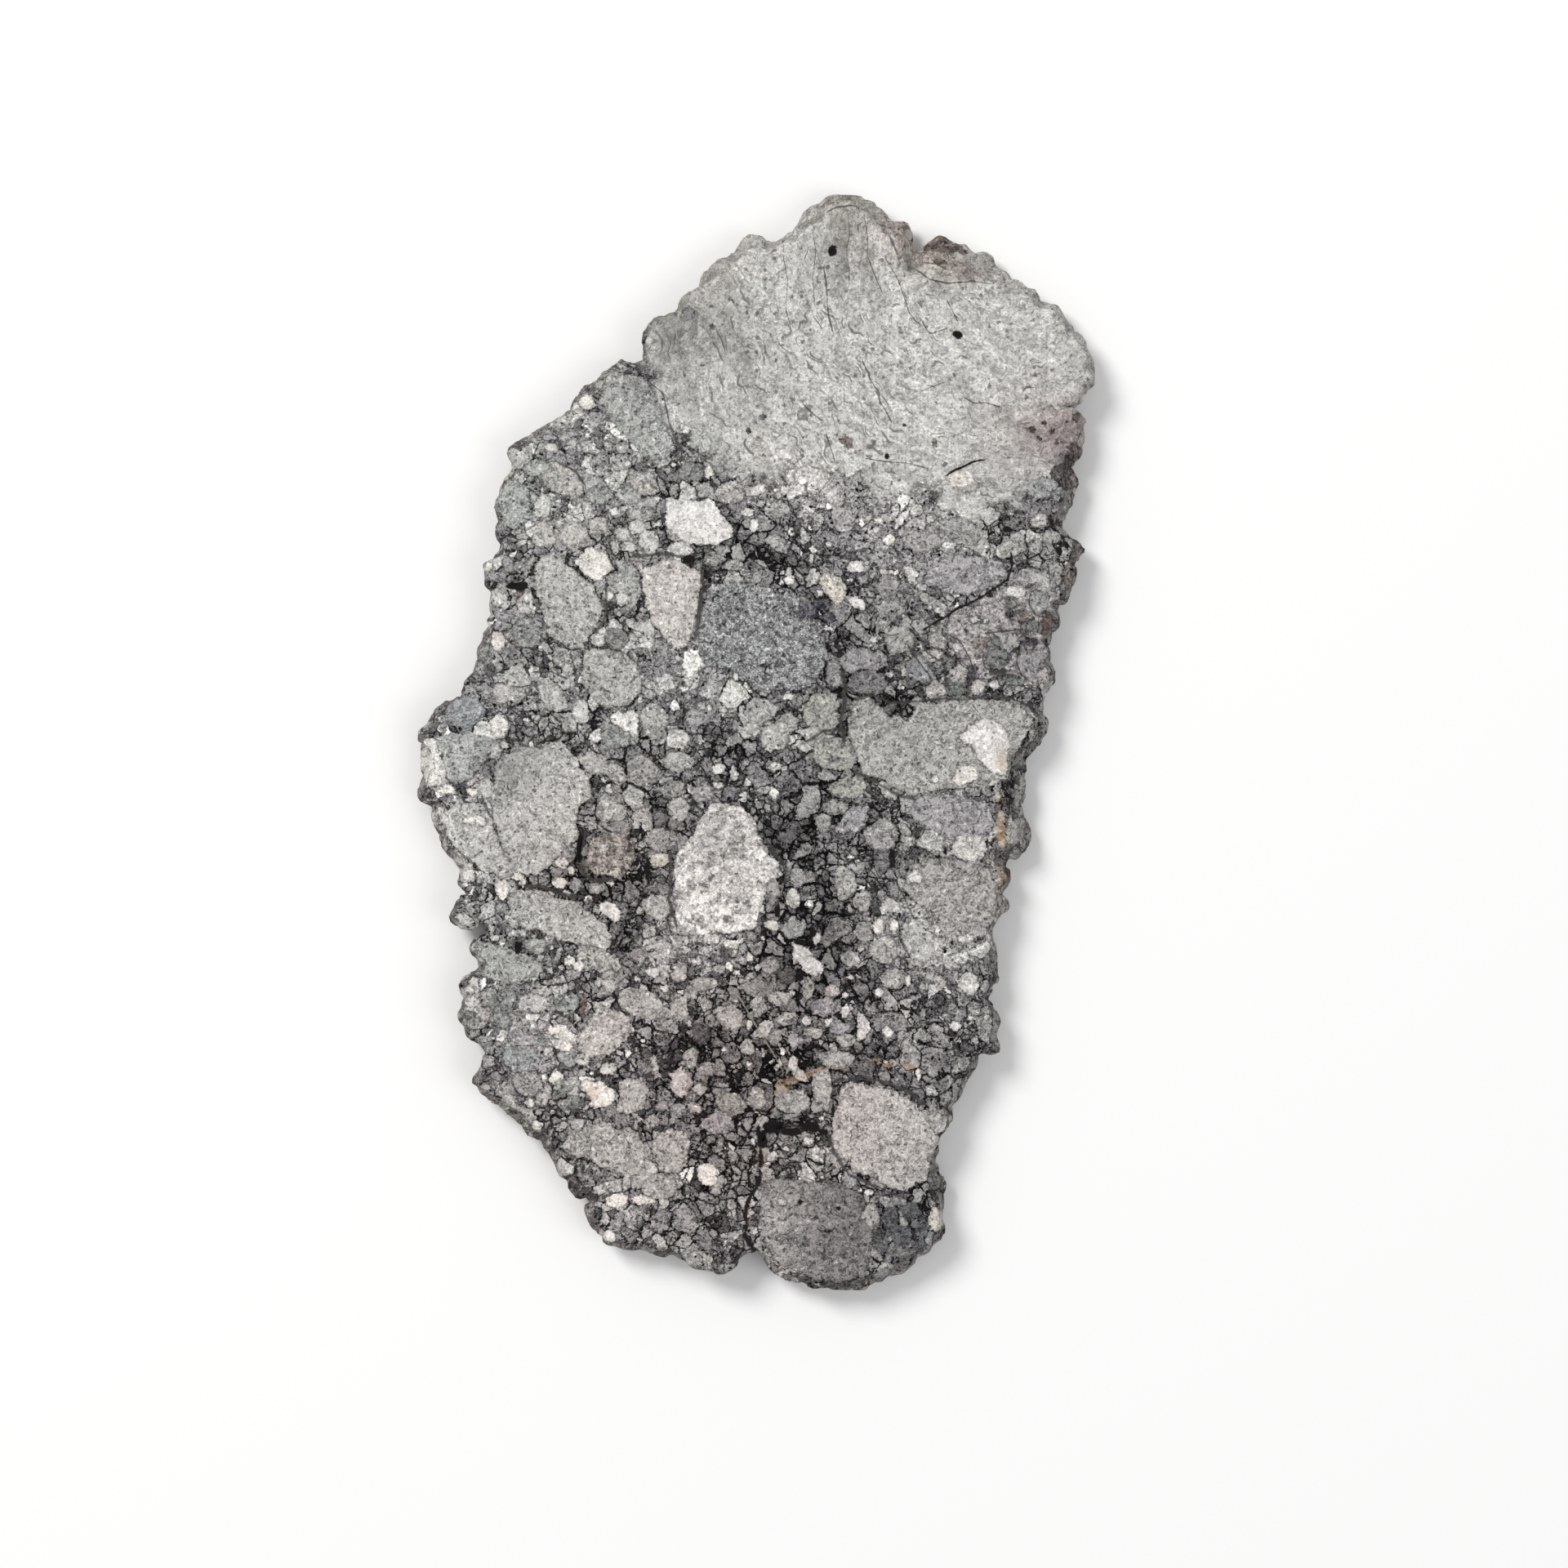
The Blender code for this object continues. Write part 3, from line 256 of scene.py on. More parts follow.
# Smaller clasts: tone, then each one's middle, width and height
SMALL_CLASTS = (
    ("white", "-6.4,27.9,.9,.8 2.5,25.5,1.5,.8 2.5,26.7,.8,.5 -1.9,26.5,.5,.5 2.5,22.4,.8,.8 "
              "6.7,24.2,.5,.5 3.7,20.9,.5,.3 7,21.3,.4,.4 -.9,20.4,1.1,.8 -.2,19.3,.6,1 4.3,18.5,.4,.4 "
              "3.2,18.5,.3,.3 6.4,17.5,.7,.5 5,17.1,.7,.5 4.9,16.2,.5,.9 11.4,15.2,.6,.5 8.4,14.4,.7,.5 "
              "5.6,13.3,.5,.5 12.8,19.7,.8,.7 12.5,19.1,.4,.4 12.3,16.2,.3,.6 .1,41.6,1.2,.7 8.3,36,1,.8 "
              "5.6,34.7,1.2,.4 14.5,33.6,.6,.6 24.3,33.4,.6,.6 24.6,35.4,.5,.5 11,35.1,1,.3 "
              "23.4,29,.9,1.1 -9.4,36.9,.5,.5 -9.6,35.7,.8,1 -17.6,21.5,.5,.4 -18.3,21.8,.9,.5 "
              "-16.3,20.4,.9,.5 -12.7,20.5,.9,.8 -11.7,20.8,.5,.3 -17.6,19.4,.7,.6 -11.5,24.8,.5,.5 "
              "-8.9,21.6,.5,.5 -7.4,24.7,.5,.5 -9.7,17.2,.7,.6 -19.5,11.2,.5,.5 -1.8,5.8,.6,.7 -3,2.9,1,.5 "
              "-4.2,3,.5,.4 2.7,4,.9,.5 -4.8,-.1,.7,.5 -3.3,-2.4,1,.9 1.6,-4.6,.9,1 -1.3,-4.7,.8,.5 "
              "-1.4,-5.2,1,.3 10.4,9,.5,.6 6.4,10.1,.7,.4 12.8,4.9,.4,.9 11.8,6,.5,.5 15.6,2.5,.4,.4 "
              "16.1,2.9,.5,.5 15.9,-3.3,.6,.6 23.9,2.6,.3,.3 17.8,8,.4,.4 22.4,8.4,.8,.9 19.4,10.9,.8,.5 "
              "20.4,10.7,.4,.4 23.1,13.3,1.8,1 -17.4,5.7,.7,.6 -16,3.2,.6,.6 -10.3,3.7,.6,.6 -13.6,-3.5,.6,.5 "
              "-13.2,-4.3,.5,.9 -22.5,-.3,.7,.7 -25.8,-12.7,.7,.6 -16.5,-11.5,.6,.6 -16.8,-13.5,.7,.5 "
              "-12.9,-12.6,.8,.6 -22.2,-15.7,.8,.5 -20.8,-17.2,.7,.7 -17.7,-16.9,.8,.5 -16.7,-19.6,.9,.8 "
              "-15.8,-20.1,1,.8 -9.3,-20.6,1.2,.9 -8.2,-20.7,.6,.6 -8.2,-22,.9,.6 -10.6,-21.2,.5,.5 "
              "-18,-24.4,.8,.5 -20.2,-32.2,.8,.9 -10.3,-44.5,.7,.4 -6,-25.1,.5,.5 -2.4,-20.1,.6,.8 "
              "-.6,-19.2,.5,.9 -5.5,-19.6,.7,.3 -7.1,-20.2,.6,.3 -1.7,-20.6,.7,.4 -.6,-25.3,.6,.8 "
              "-2.9,-27.4,.4,.5 .5,-27.9,.5,.8 -.7,-28.7,.5,.5 2.3,-27.7,.5,.8 6.9,-27.5,.7,.6 "
              "4.7,-14.5,.8,.6 5.4,-17.6,.7,.9 8.7,-20.9,1.2,.4 8,-22.5,.7,.6 7.9,-24.1,.8,1.3 "
              "6.4,-25,.7,.8 4.5,-24.9,.8,.8 3.2,-22.4,.5,.5 11.4,-15.2,.9,.6 18.3,-17.6,.6,.6 "
              "19,-17.4,.5,.5 17.7,-25.4,1,.7 19.1,-24.7,.7,.5 14,-26.7,.4,.4 13.5,-21.3,.6,.9 "
              "11.7,-26,1,.8 16.8,-27.8,.4,.4 10.9,-22.4,.6,.6 10,-40.2,.8,.4 14.4,-29.6,.3,.8 "
              "5.3,-36.7,.8,1.3 2.5,-36.3,.6,.4 4.5,-35.6,.8,.7 -.3,-35.6,.5,.5"),
    ("cream", "-4.3,23.9,.8,1.1 2.9,14.4,1.1,.8 11.8,17.9,1.1,1 10.6,18.7,.7,.6 10.9,19.7,.8,.6 "
              "-15.1,30.2,1.4,1.3 -16.2,29.8,1.1,.7 -18.1,26.2,1.2,.7 -7.8,38,1,.7 -13.1,12.9,.8,.9 "
              "-3.4,-3.9,1,.6 13.3,6.2,.6,.6 14.6,8.6,.6,.6 -22.9,1.3,1.5,2 -27.6,-4.3,1.3,.9 "
              "-25.3,-4.5,1.2,.5 -25,-7,1.8,.8 -22.7,-13.2,1.2,2 -21.2,-12.1,1,.8 -17.5,-12.6,1.4,1.1 "
              "-17.3,-10.8,1.2,1 -19.9,-24.6,1.4,.7 -17.8,-30.1,1.3,1.4 -19.6,-34.3,1.1,.9 "
              "-10.1,-40.8,2.2,.9 -12.4,-40.9,1.9,1.2 -13.2,-44.3,1.5,1.3 1.4,-16.4,1.1,1.2 "
              "10.9,-16.5,.9,1.2 12.3,-16.5,.8,1.4 -4.3,-38.6,1.7,2 18.3,23.4,2.1,1.6 -25.3,-21.3,1.2,1"),
    ("pale", "-6.8,17.1,2.2,1.5 -13.5,-9.6,.7,.9 -2,-2.8,.8,1.2 -11.9,18.5,1.3,1.2 -10.6,19,1.6,1.3 -9.6,17.9,1.8,2 -11.2,17.3,1.3,1 "
             "-12.6,17.3,.7,1.4 -12,12.8,1.2,1.5 -12.6,10.2,1.2,1.4 -14,9,1.3,1.1 -15.6,2.6,1.4,2 "
             "-7,.2,2,1.8 1.7,-2.3,1.1,.7 3.3,-14,1.2,1.8 11.9,-14.6,1.6,1.3 14.2,-12,1.2,1.2 "
             "1.5,-37,1.1,.9 -.2,22.4,1.8,1 19,-9.5,3,2.2 "
             "18.9,-21.5,1.8,1.8 -19,21,1.6,2"),
    ("grey", "23.2,-7.6,2,3.6 23.9,-3.9,1,2 -16.1,-12.8,1.2,1.3 -14.2,-13,1.2,.8 -7,-1.9,2.6,1.8 -8.9,-14.8,2.2,2.2 .2,-23.7,1.4,1.8 "
             "2,-22.9,2,1.4 2.7,-24.7,1.8,1.2 8,-26.6,1.8,1 0,-31.8,1.6,2 -5,-31.1,1.4,1 "
             "11.4,-18.6,2.4,2.5 7.9,-12.6,1.8,3 9.5,-14.2,1.6,1.6 9.6,-17.2,1.8,1.3 8.4,-19.3,1.6,1.4 "
             "12.1,-21.1,2.1,1.8 4.6,-22,1.1,2 -16,-35.8,2.4,2.4 16,-33.3,1.4,1.4 -13,-21.3,1.5,1.7 "
             "-17.5,27.8,1.6,1.2 -8.6,-39.7,3,2.2 16.1,9,1.7,1.6 5,-25.9,1.6,1 -.8,-27.3,1.4,1.4"),
    ("mid", "-3.9,16.3,1.9,1.3 -2.0,15.7,1.5,1.1 -3.0,17.1,1.3,.8 7,5.6,1.3,1.3 6.2,-3.1,1.8,1 7,-5.8,2,1.3 5.9,-7.2,1.5,1.4 11,-8.3,2.8,2.6 13.5,-8.9,1.2,1.2 "
            "1.5,-13.3,1.2,2.1 3.6,-12.2,1.5,1.9 1.7,-26.2,1,1.4 -5.8,-28.2,1.6,1.7 -4.4,-29.2,1.8,1.2 "
            "-9.3,-33.8,1.2,1.2 -8.4,-32.4,1.2,1 -4.8,-4.6,1.9,1.5 1.2,-19.9,1.7,1.5 -4.7,-21.6,2.4,1.2"),
    ("green", "-19.5,24.3,2.3,1.4 -11.3,21.9,2,1.6 26.4,18.2,1.6,1.1 3.7,-32,2.3,2.2 -19.6,-18.2,2,1.3 "
              "3.3,-16.7,2,1.9 7,-28.3,3.2,1.6"),
    ("pink", "-18.9,18.5,2,2.3 -14.1,19.2,1.8,1.6 -10,22.5,1.6,1.2 -2.3,22.1,2.4,1.9 .3,25.9,1.6,2 "
             "-10.2,-6.6,1.5,1.2 16.3,-21.5,1,1.3 6.7,-22.3,1.5,1 -5.5,-32.6,1.2,.9 27.4,20.8,1,1.6 "
             "-6.9,-20.9,1.3,1.2"),
    ("lilac", "-5.3,2.1,2,1.4 6,-23.6,2,1.6 -3,-30.6,1.7,.6 -3.5,-34,2.8,1.9 -6.2,38,1.3,1.3 "
              "7.4,-25.5,1.6,1.2 3.4,-26.6,1.2,1.4"),
    ("blue", "-7,-33,1.6,1.1 -26.2,2.8,3.6,2.6 14.6,6.5,2.2,2.5 25.5,22.6,2.8,1.8 27.1,22,1.8,1.5 "
             "27.2,20.7,1.4,1.2"),
    ("dim", "-8.6,-6.8,1.4,1.2 -5.8,24,2.4,1.9 -12.5,9,2,1.7 -9.9,-28.9,1.3,1.2 6.9,-1.6,.8,.7 "
            "-3.9,37,.6,.5 -2.2,39.1,.5,.5 2.2,30.7,.6,.3 11.1,25.7,.5,.5 15.9,26.6,.5,.7 16,-37.8,1.2,1"),
    ("plum", "4.7,11.6,1.7,1.3 5.9,12.2,1.5,.9 6.5,11.0,1,.9 24.2,8.8,1.5,.8 23.2,8.6,.9,.6 22.7,11.3,1.1,.8 "
             "23.7,10.8,.8,.6 19.1,6.3,1.1,1.3"),
    ("dark", "-5,-26,1.6,1.6 27,24,1.6,1.4 28,22.6,.8,1.3 -23.7,6.5,1,1.2 21.5,6.3,1.4,.6 "
             "-5.2,-18.1,1.1,.4 -2.6,-18.9,1,.8 2.7,-20.9,1.6,1.4 "
             ".6,28.8,.5,.4 -.7,27.7,.5,.7 11.6,25.4,.4,.5"),
    ("pale", "22.8,8.9,1.1,1.3 -23.2,12.8,1.7,1.8 -20.6,12.2,1.5,1.8 -26,-22.3,1.4,1.2 -25.5,-23.2,1.6,1 "
             "28,27,1.2,.8 27.3,26.4,1,.5 21.2,5,.9,.8 -16.8,6.5,.7,1.2"),
    ("cream", "-23.9,15.6,1.1,.8 -23.1,9,1.2,1.7"),
    ("dark", "25.5,28.3,.6,.5 26.3,27.6,.5,.6 25.2,27,.5,.4 26.8,26.6,.5,.5 25.9,26.2,.4,.4 24.6,27.8,.4,.4 "
             "27.5,28.4,.4,.5 3.2,-43.2,.5,.4 5.2,-42.4,.4,.5 7.8,-43.4,.6,.5 6,-45.4,.5,.4 4.4,-44.6,.4,.4 "
             "8.6,-45.2,.4,.4"),
    ("bright", "2.2,-41,.6,.5 5.6,-40.6,.6,.5 7,-46.4,.6,.5 -21.3,5.2,2.4,3.2 -19.2,-22.3,1.8,.8 -19.8,-23.4,2.8,1.6"),
    ("moss", "22.7,12.4,1.1,1 21.4,7.4,2.1,1.8 17.5,4.9,1.8,1.8 22.8,5.3,1.8,1 -22.7,-23.7,2,1.3 "
             "-25.7,-24.4,1.3,1 -16.2,-32.2,1.8,1.2 21.1,8.8,1.6,.9 24.5,10.2,1.5,1.3"),
    ("sage", "-20.3,9.7,3,2.8 -24.3,7.7,1.4,1.6 -22.2,-22.7,1.6,1.8 -22.7,-24.8,2,1.2 -16.8,-28.2,1.8,1.4 "
             "-17.2,-30.8,1.6,1.2 25.2,12.4,1.7,1.9 -16.8,-23.3,2.2,1.7 -19.5,-26.6,2,1"),
    ("pink", "25.2,19.7,1.4,1.2 16,4.5,1.6,1.6 15.7,7.7,1.8,1 18,6,1.6,1.8 19.7,4.8,1.2,1.4 25.5,5.8,1.2,1.4 "
             "-22.7,4.3,1.3,1.8 -15.5,-28.4,1.2,1.2 -24.2,-30.8,1,.8"),
    ("lilac", "24.2,14.8,2.2,1.2 24.2,6.9,2.4,2.2 -22.8,11.3,1.6,1.2 -22.9,10.3,1.4,.9 -23.3,14.7,1.8,1 "
              "-23.8,-28.7,1.2,1.4 -21,-26.2,2.4,1"),
    ("mid", "-21.1,15.6,1,1.1 -22.2,16,.9,.8 -22.6,13.7,.8,1.1 -20.2,14.1,.8,1 26.5,15,1.6,2.3 "
            "24.9,17.4,1.2,1.3 -23.9,-22.8,1.4,1.8"),
    ("grey", "25.4,14.3,1.7,1.6 -25,-25.2,2,.9 -22.2,-32.3,1.6,1.4 -20.8,-33.5,2,1.6 -19.1,-31.8,1.2,1.6 "
             "-16.7,7.4,.9,.8"),
    ("russet", "27.8,15,.8,2.2 19.9,8.7,1.1,1.2 -21.2,13.1,.9,.5 28.6,26,1.3,1.3 23.7,11.1,1.2,.9"),
    ("umber", "-15.4,-23.5,.8,1.9 28.4,23.2,.9,1.7 28.8,17.2,1.2,1.3 7.2,27.4,.4,.5 7.6,26.8,.5,.4 8.3,26.3,.4,.4 9,25.9,.5,.3 8,27.2,.3,.3 26.1,10.3,1.8,2.4 "
              "24.3,-2.3,.7,.9 28.9,28.8,1.4,1.2 15.3,44.5,1.5,.35 16.6,44.0,1.8,.3 15.7,43.7,1.3,.25"),
    ("cream", "16,44.8,.9,.22 17.1,44.3,.9,.2 15,43.3,.8,.2"),
    ("rind", "21.8,-6.6,.7,1 21.9,-9.2,.8,1 21.5,-5,.6,.8"),
    ("umber", "21.6,-5.8,.5,.6 21.9,-7.9,.5,.6 22.1,-11.9,.9,.8 21.9,-13.2,.6,.6"),
    ("dusk", "11.9,-42.4,1.6,1.8 13.7,-41.8,1.7,1.7 12.9,-44,2,1.7 14.7,-43.4,1.2,1.6 11.1,-44.6,1.5,1.9 "
             "14.6,-45,1.4,1.1"),
    ("dim", "6.4,-40.5,2.8,1.2 8.6,-41,1.3,1.1 8.4,-45.6,1.8,1.4 13.1,-45.6,1.3,1.2 12.7,-40.9,1.2,.9"),
    ("grey", "10.2,-42.2,1.4,2 11.4,-40.9,1.1,.8"),
)

# Round voids in the sawn face, painted near-black as the shade inside them: middle, width and height
VOIDS = ("6.8,43.8,.95,1.1 17.9,36.2,1,.8 16.9,35.9,.3,.3 13.2,28.2,.4,.35 4.2,27.2,.4,.35 3.9,25.8,.3,.3 "
         "7.2,27.5,.35,.35 11.6,25.4,.4,.6 -6.9,30.1,.3,.3 1.1,31.1,.3,.3 1.6,21.8,.6,.4 24.2,33.9,.3,.3 "
         "27.1,33.6,.3,.3 13.5,37.6,.3,.3 -21.3,13.9,1.9,1 -15.7,-9.5,.8,2.8 23,-4.2,1.6,1.6 "
         "1.5,-34.4,2,1.2 3.2,-34.7,2.2,.8 4.8,-34.3,1.8,1 .6,-35.5,.9,1.8 6,-34.8,.9,.6 3.9,-41.1,.8,.6 "
         "6.4,-43.6,.8,.5 7.3,-41.6,.6,.5 20.8,13.1,.8,.5 22.6,11.4,.5,.4 24.2,8.8,.7,.3 13.6,11.3,.5,.6 20.7,17.1,.6,.4 "
         "20.2,-22.5,.9,.7 -14.5,-18.7,.3,.3 12.1,-10.5,.6,2 16.8,-9.8,.4,.9 26.6,19.6,1,.7 27,17,.8,.8 "
         "-21.3,-18.4,.7,1.3 -9.7,-11.5,.5,2.4 "
         "6.8,-32.6,.35,1.6 3.9,-17.9,1.4,.5 5,-16.9,.5,1.2 "
         "1.9,-15.2,.5,1.6 -6,16.2,1.2,.8 16.7,-33.2,.5,1.3 16.4,-40.6,.9,1.6 "
         "22.3,18.9,.9,.6")

# Lines in the sawn face: kind, half width, then the way they take. The gaping cracks are painted near-black, as
# painted shade inside them.
CRACK_SHADE, DARK, RUST, PALE = "crack_shade", "dark", "rust", "pale"
LINES = (
    (CRACK_SHADE, 0.22, "0.2,-34.5 0.3,-36 0.4,-37.5 0.3,-38.6 0,-39.8 -0.8,-41 -1,-42 -0.9,-43 -1,-44 -0.5,-44.8 "
                 "0,-46.3"),
    (CRACK_SHADE, 0.11, "15,10 16.3,10.8 17,11.2 18,11.9 18.8,12.2 19.8,12.7 21,13.5 21.8,14 22.4,14.4 22.8,15.7 "
                 "22.7,16.6"),
    (CRACK_SHADE, 0.08, "20.2,25.1 19.3,24.9 18.5,24.5 17.5,24.1 17,23.7"),
    (DARK, 0.12, "9,3.7 10.4,4.2 11.9,3.4 14.5,3.6 16.6,3.8 18.6,3.7 20.8,4.1 22.6,3.8 24.3,3.2 25,2.2"),
    (DARK, 0.07, "6.0,42.2 6.2,41 6.3,39.5 6.4,38 6.8,36.5"),
    (DARK, 0.03, "8.2,46.9 8.3,45.2 8.0,43.6 8.3,42.0 8.2,40.4"),
    (DARK, 0.035, "9.6,46.9 9.9,45.0 9.9,43.2 10.6,41.4 11.2,40.0"),
    (DARK, 0.03, "5.0,45.6 5.3,43.6 5.0,41.2 5.2,39.0"),
    (DARK, 0.03, "2.4,43.2 2.8,41.0 2.6,38.6 3.2,36.4"),
    (DARK, 0.04, "12,42.2 12.6,41.2 13.2,39.5 13.6,38.2 14.2,37.4 15,36.9"),
    (DARK, 0.05, "14.7,37.6 15.1,36.8 15.5,36.3 16.4,36.6 17,36.8"),
    (DARK, 0.05, "17,39.2 17.5,38.3 18,37.3"),
    (DARK, 0.08, "9.4,34 9.9,32.9 10.2,32 10.9,31.2 11,30"),
    (DARK, 0.05, "10,33 10.4,31.8 10.9,30.4 11.5,29.5 12,28.5"),
    (DARK, 0.07, "4.2,30 5,29.2 5.8,28.6"),
    (DARK, 0.06, "6.2,27.4 6.6,26.2 7,25"),
    (DARK, 0.05, "14.8,31.2 15.6,31.6 16.8,32"),
    (DARK, 0.06, "9.8,25.2 11.6,24.9 13.4,24.8 15,24.4"),
    (DARK, 0.06, "18.6,30.6 19.4,30.1 20.4,30.2 21.6,29.8"),
    (DARK, 0.08, "-7.7,28.2 -7.2,26.6 -6.5,25.9"),
    (DARK, 0.07, "23.8,31.2 24.1,31.6 24.6,31.5"),
    (RUST, 0.07, "25,29.3 26,29.4 27.7,29.3 28.5,28.7 29.2,28.6"),
    (DARK, 0.07, "-9.5,32 -8.3,31 -7.8,28.5 -6.8,26.2"),
    (DARK, 0.12, "-18,25 -16,24 -15.3,22.8"),
    (DARK, 0.06, "-21.8,4.9 -21,4.8 -20.2,5"),
    (DARK, 0.09, "21.3,16.9 21,16.2 22.4,15.9"),
    (DARK, 0.08, "16.8,9.6 18.1,9 18.9,7.6 19.4,6.4"),
    (DARK, 0.08, "20.4,9.6 21.8,9.8 23,9.9"),
    (DARK, 0.10, "20.2,7.6 20.3,6.6 21.2,6.1 22.6,6.3"),
    (DARK, 0.07, "23.4,8.2 23.2,7 23.6,5.9 24.6,5.2"),
    (DARK, 0.07, "24.4,13.2 24.3,12.2 24.9,11.2 26,11"),
    (DARK, 0.08, "23.4,16.1 24.6,16.2 26,15.8 26.2,14"),
    (DARK, 0.10, "14.2,9.9 15.2,7.9 16.6,7"),
    (DARK, 0.10, "13.6,8.4 14.4,7.2 15.6,5.6"),
    (DARK, 0.09, "16.8,5.8 17.2,4.6"),
    (DARK, 0.09, "18.9,5.4 18.8,4.1"),
    (DARK, 0.08, "-21.4,8.4 -19,8.2 -18.6,7"),
    (DARK, 0.09, "-19.9,6.2 -18.2,6.2 -16.9,5.6"),
    (DARK, 0.08, "-22.3,3.2 -21,2.2 -19.6,2.4"),
    (DARK, 0.10, "-16.6,8 -16.2,6.6 -15.9,5"),
    (DARK, 0.16, "-13.4,13.9 -13.4,12.4 -13.5,11 -14.2,9.8"),
    (DARK, 0.16, "-11,16.5 -8,16.7 -6.5,16.4 -5.6,16.6"),
    (DARK, 0.18, "-4.9,15.3 -4.7,13.9 -5.0,12 -5.4,9.5"),
    (DARK, 0.22, "7.6,6.2 7.9,4.8 7.8,3 7.5,1.2 7.8,0.2"),
    (DARK, 0.12, "4.5,0 5.8,0.8 7,1.1"),
    (DARK, 0.14, "8.9,-2.8 10.6,-3.6 12.4,-4.7 14,-5.1"),
    (DARK, 0.16, "-15.3,-8.6 -15.6,-10 -15.6,-11.6 -14.6,-12.4 -12.6,-12.3"),
    (DARK, 0.16, "-7.7,-10 -7.6,-12 -7.8,-14.2 -7.1,-16.4"),
    (DARK, 0.20, "0.9,-8.8 1.8,-10.2 2.7,-11.2 2.6,-12.6"),
    (DARK, 0.16, "-21.2,-12.8 -19.2,-12.9 -17.2,-13.6 -15.6,-13.9"),
    (DARK, 0.18, "7.2,-30.2 9.4,-30 11.6,-30.4 13.4,-31.1 14.9,-32.3"),
    (DARK, 0.16, "6.3,-34.8 6.9,-36.6 8.3,-38.7 10.6,-39.6 12.6,-40.5"),
    (DARK, 0.08, "13.2,42.9 14.3,42.0 15.4,41.2 16.9,40.8 19.2,41.0 20.8,40.8"),
    (DARK, 0.17, "14.4,44.0 15.8,43.7 16.9,43.2 18.1,42.8 19.2,42.3"),
    (DARK, 0.13, "15.0,42.7 16.2,42.5 17.0,42.1"),
    (DARK, 0.11, "4.6,46.2 6.0,47.1 7.1,47.6 8.6,47.8 10.1,47.3 11.3,46.3 12,44.8 12.6,43.3"),
    (DARK, 0.13, "10.6,48.2 11.4,47.3 12.2,46.9 13.2,46.6 13.9,45.4 13.9,44.4"),
    (RUST, 0.05, "1.5,-31 2,-30.2 3,-30.1 4.1,-29.8 5,-29.3 6.3,-28.9 7.2,-29.2 8,-29 8.7,-28.7 9.6,-28.8 "
                 "10.2,-28.2 11,-28.6 11.6,-29 12,-28.9 13,-28.8 14.3,-28.8 15,-29.2"),
    (RUST, 0.14, "21.5,-5 21.6,-7.5 21.5,-8.5 22.3,-9 22.7,-10.2 21.8,-10.5 21.6,-11.5 21.7,-12.5"),
    (RUST, 0.05, "0.2,-34.8 0.4,-35.8 0.6,-36.6 0.8,-38 0.5,-39.6 -0.5,-41.3 -0.6,-43"),
    (RUST, 0.06, "1.2,-32.6 1.5,-31.6 2.1,-30.6"),
    (RUST, 0.04, "1.8,-30.6 2.6,-30.5 3.6,-30.3 4.6,-30 5.6,-29.3 6.4,-29.2"),
    (RUST, 0.04, "9.9,-28.6 11,-28.3 12.2,-28.6 13.4,-29.2 14.6,-29"),
    (PALE, 0.06, "-2.5,-21.5 -1.4,-23 -0.3,-24.9 1,-27 1.8,-28.3 2.3,-29.3"),
)

# Stains of rust: middle, width and height
STAINS = ("3.2,-30,.9,.4 22.2,-12.2,1,.8 21.9,-1.6,1,2.6 -14.6,-31,.8,1.4 2.4,-30.8,.6,.5 21.9,-8,.7,2.6 "
          "10.4,-28.4,.6,.3 4.4,-29.7,.6,.3 .2,-37,.2,1")

# Darker ground, rich in matrix: middle, reach across and up, strength
DARK_GROUND = (
    (0.0, 16.8, 5.0, 2.0, 0.6), (2.0, 19.2, 3.5, 1.3, 0.5), (-9.5, 22.5, 3.0, 2.0, 0.3),
    (7.0, 12.0, 2.0, 3.0, 0.6), (8.0, 3.0, 2.2, 6.0, 0.8), (12.5, 3.6, 1.8, 1.3, 0.7),
    (7.0, -4.5, 3.0, 4.0, 0.6), (3.0, -8.0, 3.0, 3.0, 0.7), (5.0, -17.0, 4.0, 5.0, 1.0),
    (12.0, -9.0, 3.0, 3.0, 0.4), (-12.5, -12.5, 3.5, 4.0, 0.8), (-17.0, -12.3, 3.0, 1.8, 0.8),
    (-2.0, -27.0, 6.5, 5.0, 0.6), (4.0, -30.0, 6.0, 4.0, 0.5), (-2.0, -36.0, 4.0, 4.0, 0.6),
    (10.0, -28.5, 4.0, 1.8, 0.4), (13.5, -41.5, 3.5, 3.0, 0.9), (27.5, 21.0, 2.0, 4.5, 0.9),
    (24.0, 10.5, 2.0, 2.0, 0.3), (-20.5, 14.5, 2.5, 2.5, 0.1), (22.5, -4.5, 1.5, 1.5, 0.8),
    (-22.5, 27.0, 2.5, 2.0, 0.4), (-3.0, -3.0, 3.0, 2.5, 0.4), (-10.5, 2.0, 3.0, 3.0, 0.3),
    (-17.0, -23.0, 3.0, 2.0, 0.3), (-12.1, -17.8, 1.2, 1.6, 0.7), (1.2, -18.9, 1.2, 1.3, 0.5),
    (-9.2, -5.4, 1.5, 1.2, 0.5), (9.5, -22.0, 4.0, 3.0, 0.2), (-8.0, -42.0, 6.0, 3.0, 0.2),
    (0.0, -20.5, 3.0, 2.5, 0.6), (-12.0, -2.0, 3.0, 3.0, 0.3), (22.0, 18.5, 3.0, 2.0, 0.5),
)

